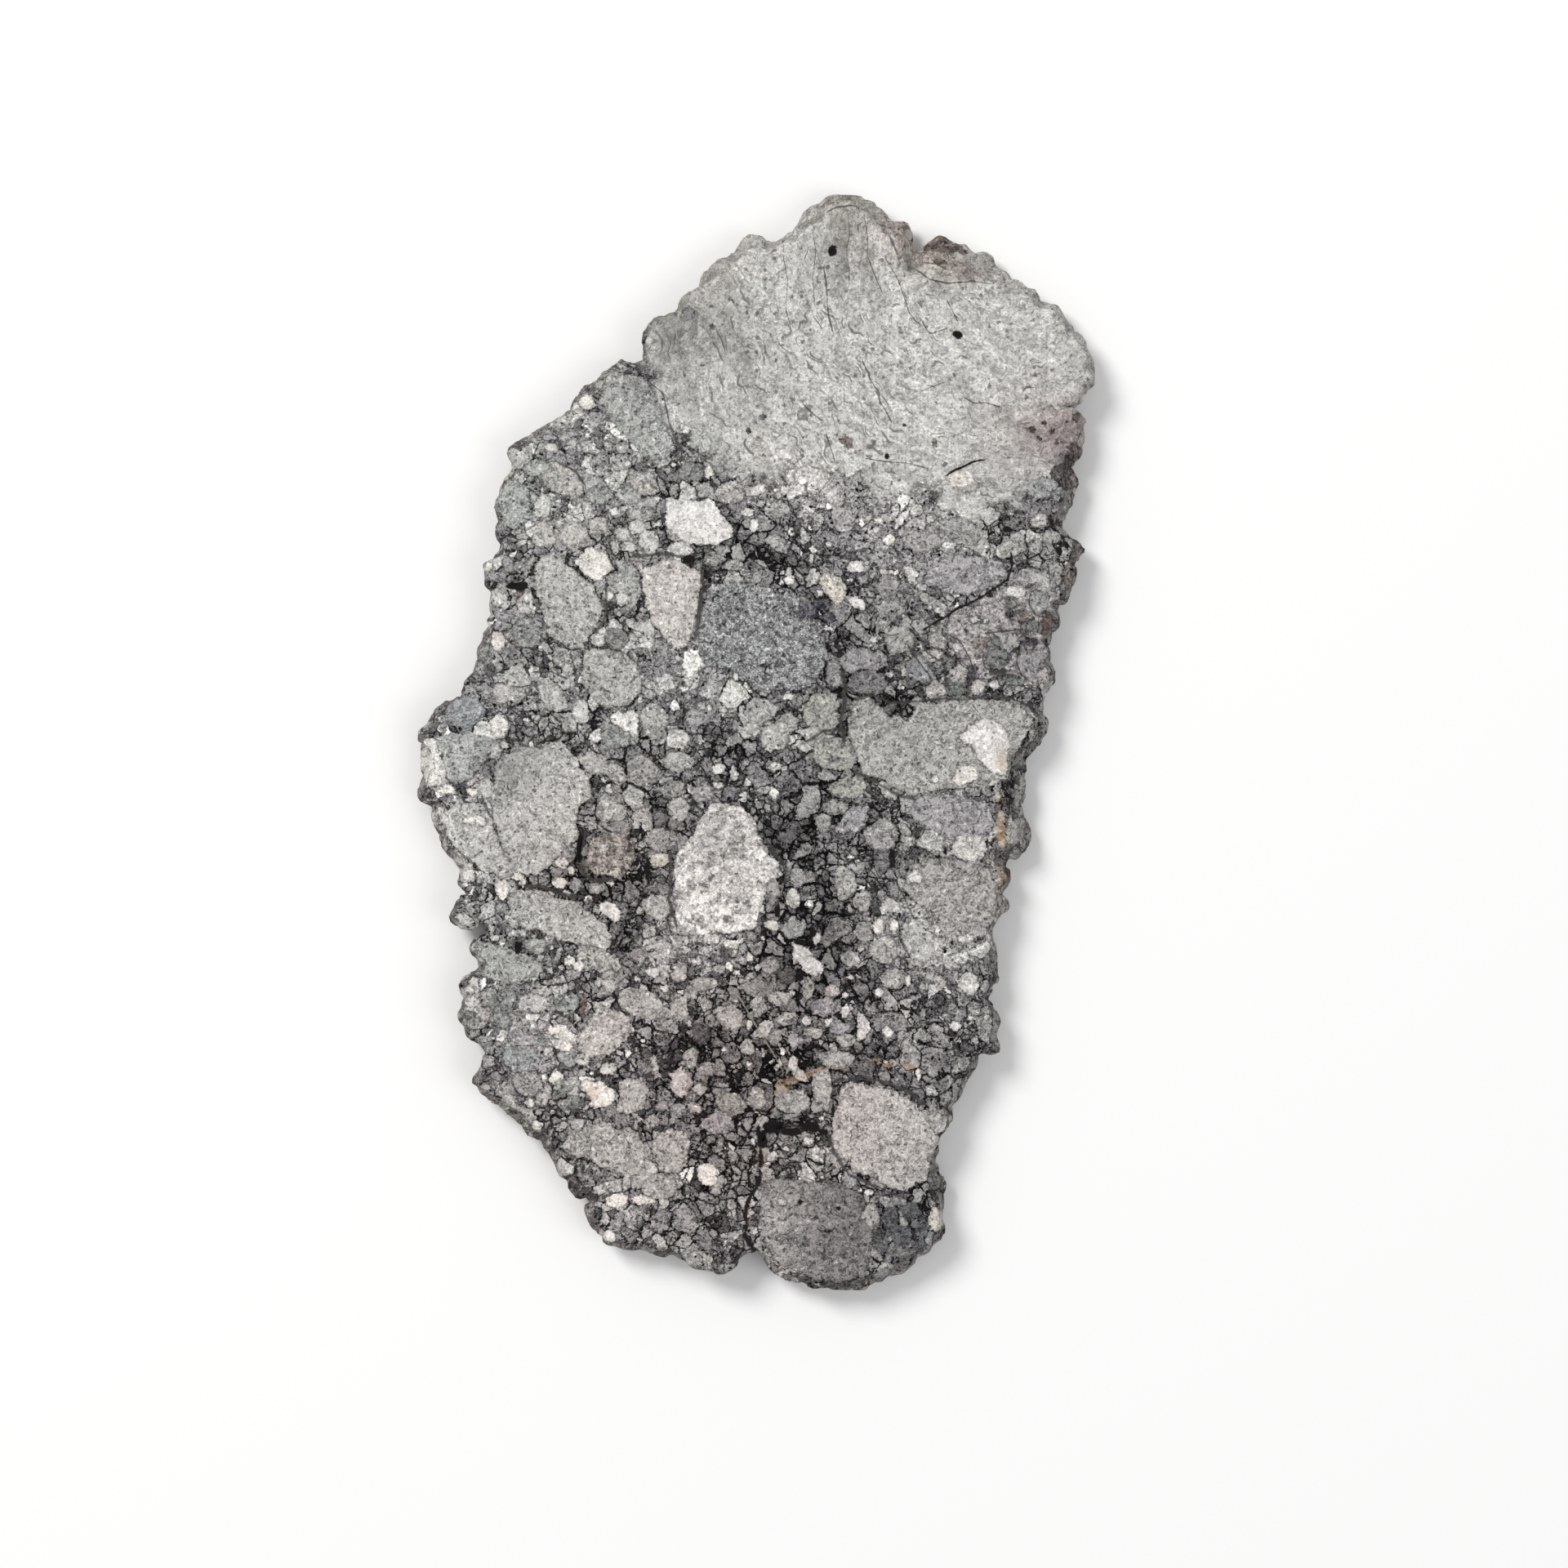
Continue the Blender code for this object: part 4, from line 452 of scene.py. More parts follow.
# Paler ground, where the clasts sit close together
PALE_GROUND = (
    (12.0, 20.5, 10.0, 3.5, 0.8), (-14.0, 27.0, 7.0, 5.0, 1.0), (-17.0, 21.0, 6.0, 4.0, 0.6),
    (16.0, 15.5, 7.0, 4.0, 0.75), (20.0, 10.0, 6.0, 4.0, 0.3), (-7.5, 7.0, 4.5, 3.5, 1.1),
    (-25.0, -6.0, 4.5, 5.0, 0.9), (-24.0, -18.0, 4.0, 4.0, 0.6), (-4.0, -18.5, 5.0, 2.2, 1.0),
    (-8.8, -15.0, 1.8, 3.0, 0.7), (17.5, -13.0, 4.5, 7.0, 0.9), (-21.0, -26.0, 5.0, 5.0, 0.5),
    (-12.5, -40.0, 6.0, 4.0, 0.2), (3.0, -44.0, 5.0, 4.0, 0.4), (19.0, -3.0, 4.0, 3.0, 0.4),
    (-19.0, 5.0, 5.0, 4.0, 0.2), (3.0, 22.6, 5.0, 1.8, 0.9), (18.5, -15.5, 3.5, 5.0, 0.6),
    (-18.0, -28.0, 4.0, 3.0, 0.4), (-22.5, 8.0, 3.0, 5.0, 0.4), (-21.0, -28.0, 4.0, 5.0, 0.3),
)

# Washes of colour: middle, reach, then what they do to red, green and blue. A few are painted light at the left rim
# and painted shadow below the crust.
WASHES = (
    (-19.0, 22.0, 7.0, (-0.018, 0.009, 0.005)), (-6.0, 25.0, 4.0, (-0.013, 0.009, 0.009)),
    (-27.0, 3.0, 4.0, (-0.023, 0.0, 0.013)), (1.0, 9.0, 6.0, (-0.009, 0.009, 0.007)),
    (27.0, 27.0, 5.0, (0.023, -0.009, -0.005)), (-4.0, -28.0, 7.0, (0.02, -0.005, -0.013)),
    (8.0, -22.0, 7.0, (0.009, -0.007, 0.002)), (14.0, -42.0, 4.0, (-0.018, 0.0, 0.013)),
    (21.5, -13.0, 4.0, (0.027, 0.0, -0.013)), (5.0, 14.0, 5.0, (0.005, -0.007, 0.009)),
    (10.5, 6.0, 4.0, (0.0, -0.007, 0.009)), (-13.5, -10.5, 4.0, (0.023, 0.0, -0.013)),
    (13.0, 46.0, 4.0, (0.027, -0.005, -0.009)), (-22.0, -18.0, 5.0, (-0.013, 0.005, 0.0)),
    (8.5, 46.0, 2.6, (-0.10, -0.115, -0.13)), (-4.0, 41.5, 3.5, (-0.15, -0.165, -0.18)),
    (-7.5, 33.0, 4.5, (-0.24, -0.235, -0.23)), (-3.0, 37.0, 4.0, (-0.10, -0.10, -0.10)),
    (-3.4, -8.5, 2.4, (-0.28, -0.28, -0.27)), (-4.0, -14.5, 2.6, (0.03, 0.025, 0.02)),
    (23.0, 27.5, 3.5, (-0.12, -0.14, -0.14)), (27.0, 27.0, 2.5, (-0.25, -0.28, -0.27)),
    (23.6, 8.5, 2.8, (-0.30, -0.30, -0.29)), (1.8, -43.0, 2.6, (0.58, 0.58, 0.57)),
    (-3.0, -18.3, 3.0, (0.34, 0.33, 0.32)), (-4.0, -34.0, 15.0, (0.06, 0.0, -0.005)),
    (-15.0, -12.0, 9.0, (0.02, 0.0, 0.0)), (-17.0, -12.3, 2.6, (-0.2, -0.21, -0.21)),
    (-8.0, -7.0, 2.2, (-0.15, -0.16, -0.16)), (13.5, 45.0, 2.0, (0.0, -0.04, -0.06)),
    (7.5, -44.0, 3.0, (-0.10, -0.12, -0.10)),
    # The washes at (-29.2, -2.0) and (-28.2, -8.5) brighten the left rim: partly its pale rock, partly painted light
    # on the rim's lit left side.
    (-29.2, -2.0, 2.6, (0.28, 0.28, 0.28)), (-28.2, -8.5, 3.0, (0.26, 0.26, 0.26)), (12.0, 5.0, 5.0, (-0.24, -0.24, -0.24)),
    (5.0, 22.6, 3.8, (0.18, 0.17, 0.17)), (12.5, 17.5, 3.0, (0.14, 0.13, 0.14)),
    (-22.5, 10.5, 3.5, (-0.08, -0.08, -0.08)), (-22.3, -2.5, 2.4, (-0.38, -0.38, -0.38)),
    (-16.0, -27.5, 6.0, (0.13, 0.13, 0.13)), (-2.3, -11.5, 2.6, (-0.10, -0.10, -0.10)),
    (17.5, -15.0, 4.0, (0.14, 0.14, 0.14)), (3.0, -21.5, 5.0, (-0.10, -0.10, -0.10)),
    (2.0, -2.5, 2.6, (0.18, 0.18, 0.18)), (-7.8, 37.2, 2.8, (-0.32, -0.32, -0.32)),
    # The washes at (16.6, 41.2), (13.9, 42.4), (19.2, 41.3) and (17.0, 42.6) are painted shadow: the soft dark band in
    # the crease below the crust.
    (8.0, 47.4, 2.4, (-0.14, -0.14, -0.15)), (16.6, 41.2, 1.3, (-0.25, -0.26, -0.26)),
    (13.9, 42.4, 1.1, (-0.25, -0.26, -0.27)), (19.2, 41.3, 1.2, (-0.20, -0.21, -0.21)),
    (17.0, 42.6, 2.2, (-0.12, -0.15, -0.17)), (27.4, 27.6, 2.3, (-0.12, -0.15, -0.14)),
    (7.0, 43.0, 3.2, (-0.32, -0.325, -0.33)), (25.0, 32.5, 4.0, (-0.09, -0.09, -0.09)),
    (22.5, 27.5, 2.5, (-0.10, -0.10, -0.10)), (-2.5, 37.5, 3.0, (-0.12, -0.12, -0.12)),
    (2.3, -47.4, 1.8, (0.4, 0.4, 0.4)), (-12.5, -42.5, 2.5, (0.18, 0.18, 0.18)),
    (-17.5, 27.5, 2.5, (-0.2, -0.2, -0.2)), (6.5, -17.5, 3.0, (-0.2, -0.2, -0.2)),
    (12.5, 12.5, 2.5, (-0.2, -0.2, -0.2)), (13.0, 33.0, 3.5, (0.10, 0.10, 0.10)),
    (-2.2, 28.0, 2.2, (-0.14, -0.14, -0.14)), (-7.6, 27.2, 2.2, (0.22, 0.22, 0.22)),
    (12.6, -42.8, 2.4, (-0.15, -0.15, -0.15)), (-2.5, -33.0, 3.0, (-0.12, -0.12, -0.12)),
)

# The fine-grained melt clast at the top: its lower edge, from the left rim to the right
MELT_EDGE = ("-14,40 -10.6,36.2 -9.4,33.4 -9.2,31.4 -8.2,29.4 -7.0,27.2 -5.4,25.6 -3.4,24.6 -0.8,23.8 1.6,23.4 "
             "4.0,23.0 7.0,22.8 10.0,22.6 13.0,22.4 16.2,22.6 18.4,21.6 20.6,21.4 22.6,21.4 24.6,22.4 "
             "26.4,23.8 27.2,25.4 28.2,27.0 33,28 33,52 -14,52")
FLOW_CENTRE = (23.0, 43.0)
SPECKED_PLACE = (5.0, 29.0, 4.0)


def numbers(text):
    """Rows of numbers from a list written as words."""
    return np.array([[float(value) for value in word.split(",")] for word in text.split()])


def deselect_all():
    for item in bpy.context.selected_objects:
        item.select_set(False)


def make_active(piece):
    """Select one piece alone."""
    deselect_all()
    piece.select_set(True)
    bpy.context.view_layer.objects.active = piece


def apply_modifiers(piece):
    make_active(piece)
    for modifier in list(piece.modifiers):
        bpy.ops.object.modifier_apply(modifier=modifier.name)


def mesh_points(mesh):
    """The mesh's points in millimetres."""
    flat = np.empty(len(mesh.vertices) * 3)
    mesh.vertices.foreach_get("co", flat)
    return flat.reshape(-1, 3) / MM


def set_group(piece, name, weights):
    """A vertex group with one weight for each point."""
    group = piece.vertex_groups.new(name=name)
    for step in range(0, 11):
        chosen = np.flatnonzero(np.round(weights * 10) == step)
        if step:
            group.add(chosen.tolist(), step / 10, "REPLACE")
    return group


def nearest_side(spots, corners):
    """Distance from each spot to a line of corners, and on which side of it the spot is."""
    best = np.full(len(spots), np.inf)
    side = np.ones(len(spots))
    for start, end in zip(corners[:-1], corners[1:]):
        run = end - start
        away = spots - start
        along = np.clip(away @ run / (run @ run), 0.0, 1.0)
        reach = np.linalg.norm(away - along[:, None] * run, axis=1)
        turn = np.sign(run[0] * away[:, 1] - run[1] * away[:, 0])
        closer = reach < best - 1e-9
        best = np.where(closer, reach, best)
        side = np.where(closer, turn, side)
    return best, side


def depth_inside(spots, corners):
    """How deep each spot lies inside a closed outline: below 0 outside it."""
    closed = np.vstack((corners, corners[:1]))
    reach, _ = nearest_side(spots, closed)
    inside = np.zeros(len(spots), dtype=bool)
    for start, end in zip(closed[:-1], closed[1:]):
        crosses = (start[1] > spots[:, 1]) != (end[1] > spots[:, 1])
        rise = np.where(end[1] == start[1], 1.0, end[1] - start[1])
        meets = start[0] + (spots[:, 1] - start[1]) * (end[0] - start[0]) / rise
        inside ^= crosses & (spots[:, 0] < meets)
    return np.where(inside, reach, -reach)


def fragment(place, draw):
    """The jagged outline of a small clast, from its middle, width and height."""
    x, y, width, height = place
    corners = max(6, min(11, int(5 + 2.2 * (width + height))))
    start = draw.uniform(0.0, 6.28)
    outline = []
    for index in range(corners):
        turn = start + 2.0 * math.pi * (index + draw.uniform(-0.22, 0.22)) / corners
        reach = 0.53 * (1.0 + draw.uniform(-JAGGEDNESS, JAGGEDNESS))
        outline.append((x + width * reach * math.cos(turn), y + height * reach * math.sin(turn)))
    return np.array(outline)


def all_clasts():
    """Every clast of the front face: tone, outline, and how it leans and tapers with depth."""
    draw = random.Random(SEED)
    listed = [(tone, numbers(text)) for tone, text in CLASTS]
    for tone, text in SMALL_CLASTS:
        listed += [(tone, fragment(place, draw)) for place in numbers(text)]
    clasts = []
    for tone, outline in listed:
        lean = (draw.uniform(-DIP, DIP), draw.uniform(-DIP, DIP))
        clasts.append((tone, outline, lean, draw.uniform(TAPER_LOW, TAPER_HIGH)))
    return clasts


def layers_of(clasts):
    """Sort the clasts so that neighbours, and a clast lying in another, are in different layers."""
    placed = []
    for _, outline, _, _ in clasts:
        low, high = outline.min(axis=0) - CLAST_GAP, outline.max(axis=0) + CLAST_GAP
        taken, above = set(), 0
        for other, other_low, other_high, layer in placed:
            if (low > other_high).any() or (high < other_low).any():
                continue
            near = max(depth_inside(outline, other).max(), depth_inside(other, outline).max())
            if near > -CLAST_GAP:
                taken.add(layer)
            if near > 0.1:
                above = max(above, layer + 1)
        layer = next((n for n in range(above, LAYERS) if n not in taken), LAYERS - 1)
        placed.append((outline, low, high, layer))
    return [layer for _, _, _, layer in placed]


def near_box(spots, low, high, margin):
    """Indices of the spots in a box with this margin."""
    held = (spots > low - margin).all(axis=1) & (spots < high + margin).all(axis=1)
    return np.flatnonzero(held)


def give(mesh, name, values):
    """Keep a number for each point of the mesh."""
    mesh.attributes.new(name, "FLOAT", "POINT").data.foreach_set("value", np.asarray(values, dtype=np.float32))


def give_colour(mesh, name, values):
    """Keep a colour for each point of the mesh."""
    layer = mesh.attributes.new(name, "FLOAT_COLOR", "POINT")
    layer.data.foreach_set("color", np.asarray(values, dtype=np.float32).ravel())


def write_clasts(mesh, points):
    """Write each layer's depth and tone at every point of the stone."""
    clasts = all_clasts()
    places = layers_of(clasts)
    below = THICKNESS - points[:, 2]
    depth = np.full((LAYERS, len(points)), -FAR)
    tone = np.zeros((LAYERS, len(points), 4))
    for (name, outline, lean, taper), layer in zip(clasts, places):
        spots = points[:, :2] + READ_FROM + below[:, None] * lean
        held = near_box(spots, outline.min(axis=0), outline.max(axis=0), FAR)
        reach = depth_inside(spots[held], outline) - taper * below[held]
        closer = reach > depth[layer, held]
        chosen = held[closer]
        depth[layer, chosen] = reach[closer]
        tone[layer, chosen] = TONES[name]
    for layer in range(LAYERS):
        give(mesh, f"clast_depth_{layer}", depth[layer])
        give_colour(mesh, f"clast_tone_{layer}", tone[layer])


def write_lines(mesh, points):
    """Write how far each point is from the lines of every kind, and from their ends."""
    spots = points[:, :2] + READ_FROM
    below = THICKNESS - points[:, 2]
    for kind in (CRACK_SHADE, DARK, RUST, PALE):
        across = np.full(len(points), FAR)
        reach = np.full(len(points), FAR)
        for line_kind, half_width, text in LINES:
            if line_kind != kind:
                continue
            way = numbers(text)
            held = near_box(spots, way.min(axis=0), way.max(axis=0), FAR)
            distance, side = nearest_side(spots[held], way)
            distance = distance - half_width + 0.3 * below[held] * (kind != CRACK_SHADE)
            closer = distance < reach[held]
            chosen = held[closer]
            reach[chosen] = distance[closer]
            across[chosen] = (distance + half_width)[closer] * side[closer] / half_width
        give(mesh, f"{kind}_across", across)
        give(mesh, f"{kind}_reach", reach)


def write_ovals(mesh, points, name, text, lean):
    """Write how deep each point is inside the nearest of some small ovals: voids, for their painted shade, and stains.
    """
    draw = random.Random(SEED + len(text))
    spots = points[:, :2] + READ_FROM
    below = THICKNESS - points[:, 2]
    depth = np.full(len(points), -FAR)
    for place in numbers(text):
        outline = fragment(place, draw)
        held = near_box(spots, outline.min(axis=0), outline.max(axis=0), FAR)
        reach = depth_inside(spots[held], outline) - lean * below[held]
        depth[held] = np.maximum(depth[held], reach)
    give(mesh, name, depth)


def write_ground(mesh, points):
    """Write the dark and pale ground, the washes of colour and the melt clast."""
    spots = points[:, :2] + READ_FROM
    ground = np.zeros(len(points))
    for sign, patches in ((1.0, DARK_GROUND), (-1.0, PALE_GROUND)):
        for x, y, reach_x, reach_y, strength in patches:
            away = ((spots[:, 0] - x) / reach_x) ** 2 + ((spots[:, 1] - y) / reach_y) ** 2
            ground += sign * strength * np.exp(-away)
    ground += 0.25 * noise_at(points, 5.0, 7.0, 2) + 0.5 * noise_at(points, 1.9, 17.0, 2)
    give(mesh, "ground", np.clip(ground, -1.0, 1.0))
    wash = np.ones((len(points), 4))
    for x, y, reach, change in WASHES:
        away = ((spots - (x, y)) ** 2).sum(axis=1) / reach ** 2
        wash[:, :3] += np.exp(-away)[:, None] * change
    give_colour(mesh, "wash", wash)
    melt = depth_inside(spots, numbers(MELT_EDGE)) + 2.6 * noise_at(points, 3.2, 13.0, 4)
    give(mesh, "melt", melt)


def rough_edge(points, normals, edge):
    """Crumble the rim sideways, most at the rim itself, and keep the stone inside its box."""
    noise.seed_set(SEED)
    moved = points.copy()
    moved[:, :2] += RIM_OUT * edge[:, None] * normals[:, :2]
    for index in np.flatnonzero(edge > 0.02):
        spot = Vector(points[index])
        crumb = noise.noise_vector(spot / CRUMB_SIZE) * CRUMB_MOVE
        grit = noise.noise_vector(spot / GRIT_SIZE + Vector((9.0, 4.0, 2.0))) * GRIT_MOVE
        shift = (crumb + grit) * float(edge[index])
        moved[index, 0] += shift.x
        moved[index, 1] += shift.y
        if 0.3 < spot.z < THICKNESS - 0.3:
            moved[index, 2] += 0.6 * shift.z
    low, high = np.array(CAD_BOX[0]) / MM, np.array(CAD_BOX[1]) / MM
    return np.clip(moved, low, high)


def rim_distance(points):
    """How far each point of the sawn faces is from the rim, up to the reach of the rough edge."""
    z = points[:, 2]
    sawn = (z > THICKNESS - 0.08) | (z < 0.08)
    cell = 0.55
    keys = np.floor(points[:, :2] / cell).astype(int)
    rim = {}
    for index in np.flatnonzero(~sawn):
        rim.setdefault(tuple(keys[index]), []).append(index)
    distance = np.zeros(len(points))
    span = range(-2, 3)
    for index in np.flatnonzero(sawn):
        key = keys[index]
        found = [n for dx in span for dy in span for n in rim.get((key[0] + dx, key[1] + dy), ())]
        if found:
            gaps = points[found, :2] - points[index, :2]
            distance[index] = min(EDGE_REACH, math.sqrt((gaps ** 2).sum(axis=1).min()))
        else:
            distance[index] = EDGE_REACH
    return distance


def stone_piece():
    """The stone's mesh: the solid's own shape, with an even fine mesh and a crumbled rim."""
    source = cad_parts["meteorite_slice"]
    mesh = source.data.copy()
    mesh.name = "breccia_stone"
    piece = bpy.data.objects.new("breccia_stone", mesh)
    bpy.context.scene.collection.objects.link(piece)
    mesh.materials.clear()
    make_active(piece)
    bpy.ops.object.mode_set(mode="EDIT")
    bpy.ops.mesh.select_all(action="SELECT")
    bpy.ops.mesh.remove_doubles(threshold=0.000002)
    bpy.ops.mesh.normals_make_consistent(inside=False)
    bpy.ops.object.mode_set(mode="OBJECT")

    even = piece.modifiers.new("even", "REMESH")
    even.mode = "VOXEL"
    even.voxel_size = MESH_STEP * MM
    apply_modifiers(piece)

    points = mesh_points(piece.data)
    set_group(piece, "back", (points[:, 2] < 0.3).astype(float))
    thin = piece.modifiers.new("thin_back", "DECIMATE")
    thin.vertex_group = "back"
    thin.vertex_group_factor = 10.0
    thin.ratio = BACK_SHARE
    apply_modifiers(piece)

    points = mesh_points(piece.data)
    points[points[:, 2] > THICKNESS - 0.05, 2] = THICKNESS
    points[points[:, 2] < 0.05, 2] = 0.0
    edge = 1.0 - rim_distance(points) / EDGE_REACH
    normals = np.empty(len(points) * 3)
    piece.data.vertices.foreach_get("normal", normals)
    points = rough_edge(points, normals.reshape(-1, 3), edge)
    piece.data.vertices.foreach_set("co", (points * MM).ravel())
    piece.data.update()
    piece.vertex_groups.clear()
    make_active(piece)
    bpy.ops.object.shade_smooth_by_angle(angle=math.radians(60.0))
    return piece


class Recipe:
    """Puts together the nodes of one material. Lengths are millimetres."""

    def __init__(self, name):
        self.material = bpy.data.materials.new(name)
        self.material.use_nodes = True
        self.tree = self.material.node_tree
        self.shader = self.tree.nodes["Principled BSDF"]
        place = self.node("ShaderNodeTexCoord").outputs["Object"]
        self.place = self.vector("SCALE", place, scale=1.0 / MM)

    def node(self, kind, **settings):
        made = self.tree.nodes.new(kind)
        for name, value in settings.items():
            setattr(made, name, value)
        return made

    def feed(self, socket, value):
        if isinstance(value, bpy.types.NodeSocket):
            self.tree.links.new(value, socket)
        else:
            socket.default_value = value

    def sum(self, operation, *values, clamp=False):
        """A Math node's result."""
        made = self.node("ShaderNodeMath", operation=operation, use_clamp=clamp)
        for socket, value in zip(made.inputs, values):
            self.feed(socket, value)
        return made.outputs[0]

    def vector(self, operation, *values, scale=None, out="Vector"):
        """A Vector Math node's result."""
        made = self.node("ShaderNodeVectorMath", operation=operation)
        for socket, value in zip(made.inputs, values):
            self.feed(socket, value)
        if scale is not None:
            self.feed(made.inputs["Scale"], scale)
        return made.outputs[out]

    def ramp(self, value, low, high, to_low=0.0, to_high=1.0, soft=True):
        """The value taken from one range to another and held inside it."""
        kind = "SMOOTHSTEP" if soft else "LINEAR"
        made = self.node("ShaderNodeMapRange", interpolation_type=kind, clamp=True)
        for name, setting in (("Value", value), ("From Min", low), ("From Max", high),
                              ("To Min", to_low), ("To Max", to_high)):
            self.feed(made.inputs[name], setting)
        return made.outputs["Result"]

    def mix(self, share, first, second, blend="MIX"):
        """Two colours mixed."""
        made = self.node("ShaderNodeMix", data_type="RGBA", blend_type=blend, clamp_factor=True)
        self.feed(made.inputs[0], share)
        self.feed(made.inputs[6], first)
        self.feed(made.inputs[7], second)
        return made.outputs[2]

    def scaled(self, colour, amount):
        """A colour made lighter or darker."""
        return self.vector("SCALE", colour, scale=amount)

    def noise(self, size, detail=2.0, rough=0.55, place=None, twist=0.0, out="Fac"):
        made = self.node("ShaderNodeTexNoise")
        self.feed(made.inputs["Distortion"], twist)
        self.feed(made.inputs["Vector"], place or self.place)
        self.feed(made.inputs["Scale"], 1.0 / size)
        self.feed(made.inputs["Detail"], detail)
        self.feed(made.inputs["Roughness"], rough)
        return made.outputs[out]

    def edges(self, size, place):
        """Distance to the nearest side of some random cells."""
        made = self.node("ShaderNodeTexVoronoi", voronoi_dimensions="2D", feature="DISTANCE_TO_EDGE")
        self.feed(made.inputs["Vector"], place)
        self.feed(made.inputs["Scale"], 1.0 / size)
        return self.sum("MULTIPLY", made.outputs["Distance"], size)

    def cells(self, size, place):
        """Distance to the middle of the same cells, and three random numbers for each cell."""
        made = self.node("ShaderNodeTexVoronoi", voronoi_dimensions="2D", feature="F1")
        self.feed(made.inputs["Vector"], place)
        self.feed(made.inputs["Scale"], 1.0 / size)
        split = self.node("ShaderNodeSeparateColor")
        self.feed(split.inputs[0], made.outputs["Color"])
        return self.sum("MULTIPLY", made.outputs["Distance"], size), split.outputs

    def attribute(self, name, out="Fac"):
        return self.node("ShaderNodeAttribute", attribute_name=name).outputs[out]

    def shades(self, value, stops):
        """A ramp of greys and colours."""
        made = self.node("ShaderNodeValToRGB")
        steps = made.color_ramp.elements
        while len(steps) < len(stops):
            steps.new(0.5)
        for step, (at, colour) in zip(steps, stops):
            step.position = at
            step.color = (*colour, 1.0)
        self.feed(made.inputs["Fac"], value)
        return made.outputs["Color"]


# Random clasts, from the coarse ones to the grit: size, gap round them, how many there are
PACKING = (
    (2.2, 0.07, 0.26),
    (1.28, 0.06, 0.50),
    (0.76, 0.05, 0.66),
    (0.44, 0.04, 0.66),
)
MATRIX_SHADES = (
    (0.1, (0.30, 0.29, 0.285)), (0.36, (0.17, 0.163, 0.162)), (0.55, (0.066, 0.058, 0.059)),
    (0.85, (0.008, 0.006, 0.007)),
)
CLAST_SHADES = (
    (0.0, (0.15, 0.144, 0.146)), (0.15, (0.20, 0.193, 0.194)), (0.45, (0.28, 0.272, 0.268)),
    (0.75, (0.37, 0.361, 0.351)), (0.93, (0.48, 0.472, 0.455)), (1.0, (0.66, 0.65, 0.62)),
)
GRIT_SHADES = (
    (0.0, (0.07, 0.066, 0.07)), (0.3, (0.17, 0.164, 0.166)), (0.65, (0.29, 0.282, 0.276)),
    (0.92, (0.44, 0.43, 0.415)), (0.94, (0.78, 0.76, 0.73)),
)


def crinkles(recipe, size, place):
    """Short light and dark strokes side by side, from about -0.3 to 0.3."""
    bend = recipe.noise(size, 1.0, 0.6, place=place, twist=1.0)
    strokes = recipe.shades(bend, [(at, (level,) * 3) for at, level in
                                   ((0.38, 0.5), (0.44, 0.14), (0.49, 0.5), (0.55, 0.88), (0.61, 0.5))])
    return recipe.sum("SUBTRACT", strokes, 0.5)


def packed_clasts(recipe, ground, texture, coarse, fine, warped):
    """Colour of the matrix and the random clasts in it."""
    place = recipe.vector("ADD", warped, recipe.attribute("drift", "Vector"))
    rich = recipe.ramp(ground, -1.0, 1.0, 0.1, 0.95, soft=False)
    soot = recipe.sum("MULTIPLY_ADD", coarse, 1.6, recipe.sum("MULTIPLY_ADD", fine, 1.2, rich))
    colour = recipe.scaled(recipe.shades(soot, MATRIX_SHADES),
                           recipe.sum("MAXIMUM", recipe.sum("MULTIPLY_ADD", texture, 1.5, 1.0), 0.2))
    widen = recipe.ramp(ground, -1.0, 1.0, 0.45, 1.5, soft=False)
    thin = recipe.ramp(ground, -1.0, 1.0, 0.16, -0.08, soft=False)
    seam = recipe.ramp(soot, 0.05, 0.7, 0.2, 0.95)
    for number, (size, gap, share) in reversed(list(enumerate(PACKING))):
        edge = recipe.sum("MULTIPLY_ADD", fine, 0.16, recipe.edges(size, place))
        _, (chance, width, shade) = recipe.cells(size, place)
        gap_here = recipe.sum("MULTIPLY", recipe.sum("MULTIPLY_ADD", width, 1.4 * gap, 0.3 * gap), widen)
        shown = recipe.sum("LESS_THAN", chance, recipe.sum("ADD", thin, share))
        inside = recipe.ramp(edge, gap_here, recipe.sum("ADD", gap_here, 0.06))
        cover = recipe.sum("MULTIPLY", inside, shown)
        moat = recipe.sum("MULTIPLY", recipe.sum("SUBTRACT", shown, cover), seam)
        tone = recipe.shades(shade, GRIT_SHADES if number > 1 else CLAST_SHADES)
        # Painted shade: each random clast is darkened towards its edge, as if it were rounded.
        painted_edge_shade = recipe.ramp(edge, gap_here, recipe.sum("ADD", gap_here, 0.2), 0.7, 1.03)
        rough = recipe.sum("MULTIPLY_ADD", texture, recipe.sum("MULTIPLY_ADD", shade, -0.9, 1.7), 1.0)
        tone = recipe.scaled(tone, recipe.sum("MULTIPLY", painted_edge_shade, rough))
        colour = recipe.scaled(colour, recipe.sum("SUBTRACT", 1.0, moat))
        colour = recipe.mix(cover, colour, tone)
    return recipe.scaled(colour, recipe.ramp(ground, -1.0, 1.0, 1.30, 0.54, soft=False))


